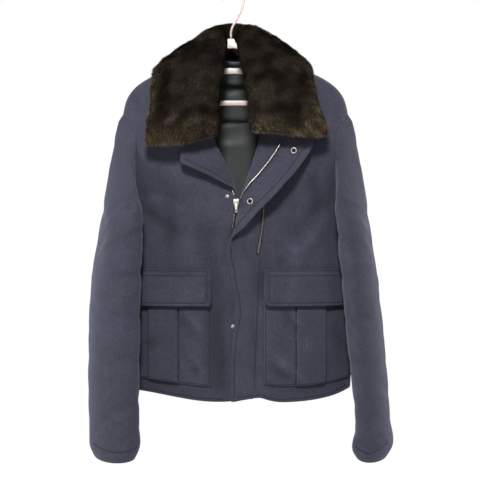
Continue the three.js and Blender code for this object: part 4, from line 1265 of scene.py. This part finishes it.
def make_world():
    """A soft light all round, which the camera sees as plain white."""
    world = bpy.context.scene.world or bpy.data.worlds.new("world")
    bpy.context.scene.world = world
    world.use_nodes = True
    tree = world.node_tree
    soft = tree.nodes["Background"]
    soft.inputs["Color"].default_value = (1, 1, 1, 1)
    soft.inputs["Strength"].default_value = SOFT_LIGHT
    white = add_node(tree, "ShaderNodeBackground", Color=(1, 1, 1, 1), Strength=1.0)
    seen = tree.nodes.new("ShaderNodeLightPath").outputs["Is Camera Ray"]
    both = add_node(tree, "ShaderNodeMixShader", [(0, seen), (1, soft.outputs[0]), (2, white.outputs[0])])
    tree.links.new(both.outputs[0], tree.nodes["World Output"].inputs["Surface"])


def make_stage():
    make_camera()
    bpy.ops.mesh.primitive_plane_add(**FLOOR)
    floor = bpy.context.active_object
    floor.name = "floor"
    pale, _, _ = material("floor", Roughness=0.9, Base_Color=(0.9, 0.9, 0.9))
    floor.data.materials.append(pale)
    make_world()
    for row in LIGHTS:
        area_light(**row)
    bpy.context.scene.view_settings.view_transform = "Standard"


# Operators, panel and registration

class JacketOperator:
    bl_options = {"REGISTER", "UNDO"}
    make = None

    def execute(self, context):
        type(self).make()
        return {"FINISHED"}


class JACKET_OT_stage(JacketOperator, bpy.types.Operator):
    """Add the camera, the floor and the lights"""
    bl_idname = "jacket.stage"
    bl_label = "Stage"
    make = staticmethod(make_stage)


class JACKET_OT_body(JacketOperator, bpy.types.Operator):
    """Make the fronts, the placket, the back and the sleeves"""
    bl_idname = "jacket.body"
    bl_label = "Body and sleeves"
    make = staticmethod(lambda: make_cloth(
        "front_right", "front_left", "placket", "back", "sleeve_right_top", "sleeve_right_under",
        "sleeve_left_top", "sleeve_left_under"))


class JACKET_OT_pockets(JacketOperator, bpy.types.Operator):
    """Make both pockets with their pleats and flaps"""
    bl_idname = "jacket.pockets"
    bl_label = "Pockets"
    make = staticmethod(lambda: make_cloth(*[
        row["node"] for row in CLOTH if row["node"].startswith("pocket")]))


class JACKET_OT_inside(JacketOperator, bpy.types.Operator):
    """Make the back's facing and lining"""
    bl_idname = "jacket.inside"
    bl_label = "Facing and lining"
    make = staticmethod(lambda: make_cloth("back_facing", "back_lining"))


class JACKET_OT_loop(JacketOperator, bpy.types.Operator):
    """Make the hanging loop"""
    bl_idname = "jacket.loop"
    bl_label = "Hanging loop"
    make = staticmethod(make_loop)


class JACKET_OT_collar(JacketOperator, bpy.types.Operator):
    """Make the fur collar"""
    bl_idname = "jacket.collar"
    bl_label = "Fur collar"
    make = staticmethod(make_collar)


class JACKET_OT_zips(JacketOperator, bpy.types.Operator):
    """Make the teeth of both zips"""
    bl_idname = "jacket.zips"
    bl_label = "Zip teeth"
    make = staticmethod(make_zips)


class JACKET_OT_sliders(JacketOperator, bpy.types.Operator):
    """Make both sliders and their pull tabs"""
    bl_idname = "jacket.sliders"
    bl_label = "Sliders"
    make = staticmethod(make_sliders)


class JACKET_OT_snaps(JacketOperator, bpy.types.Operator):
    """Make the snap fasteners"""
    bl_idname = "jacket.snaps"
    bl_label = "Snaps"
    make = staticmethod(make_snaps)


class JACKET_OT_stitching(JacketOperator, bpy.types.Operator):
    """Make the topstitching"""
    bl_idname = "jacket.stitching"
    bl_label = "Topstitching"
    make = staticmethod(make_stitching)


class JACKET_OT_hanger(JacketOperator, bpy.types.Operator):
    """Make the hanger"""
    bl_idname = "jacket.hanger"
    bl_label = "Hanger"
    make = staticmethod(make_hanger)


OPERATORS = (
    JACKET_OT_stage, JACKET_OT_body, JACKET_OT_pockets, JACKET_OT_inside, JACKET_OT_loop, JACKET_OT_zips,
    JACKET_OT_sliders, JACKET_OT_snaps, JACKET_OT_stitching, JACKET_OT_hanger, JACKET_OT_collar)


class JACKET_PT_sidebar(bpy.types.Panel):
    """The jacket's sizes, colours and pieces"""
    bl_idname = "JACKET_PT_sidebar"
    bl_label = "Wool jacket"
    bl_space_type = "VIEW_3D"
    bl_region_type = "UI"
    bl_category = "Jacket"

    def draw(self, context):
        for group in (context.scene.jacket_sizes, context.scene.jacket_colours):
            for name in type(group).__annotations__:
                self.layout.prop(group, name)
        for operator in OPERATORS:
            self.layout.operator(operator.bl_idname)


CLASSES = (JacketColours, JacketSizes, *OPERATORS, JACKET_PT_sidebar)


def register():
    for cls in CLASSES:
        bpy.utils.register_class(cls)
    bpy.types.Scene.jacket_colours = PointerProperty(type=JacketColours)
    bpy.types.Scene.jacket_sizes = PointerProperty(type=JacketSizes)


def unregister():
    del bpy.types.Scene.jacket_sizes
    del bpy.types.Scene.jacket_colours
    for cls in reversed(CLASSES):
        bpy.utils.unregister_class(cls)


def main():
    register()
    for operator in OPERATORS:
        group, name = operator.bl_idname.split(".")
        result = getattr(getattr(bpy.ops, group), name)()
        if result != {"FINISHED"}:
            raise RuntimeError(operator.bl_label + " was not made")


if __name__ == "__main__":
    main()
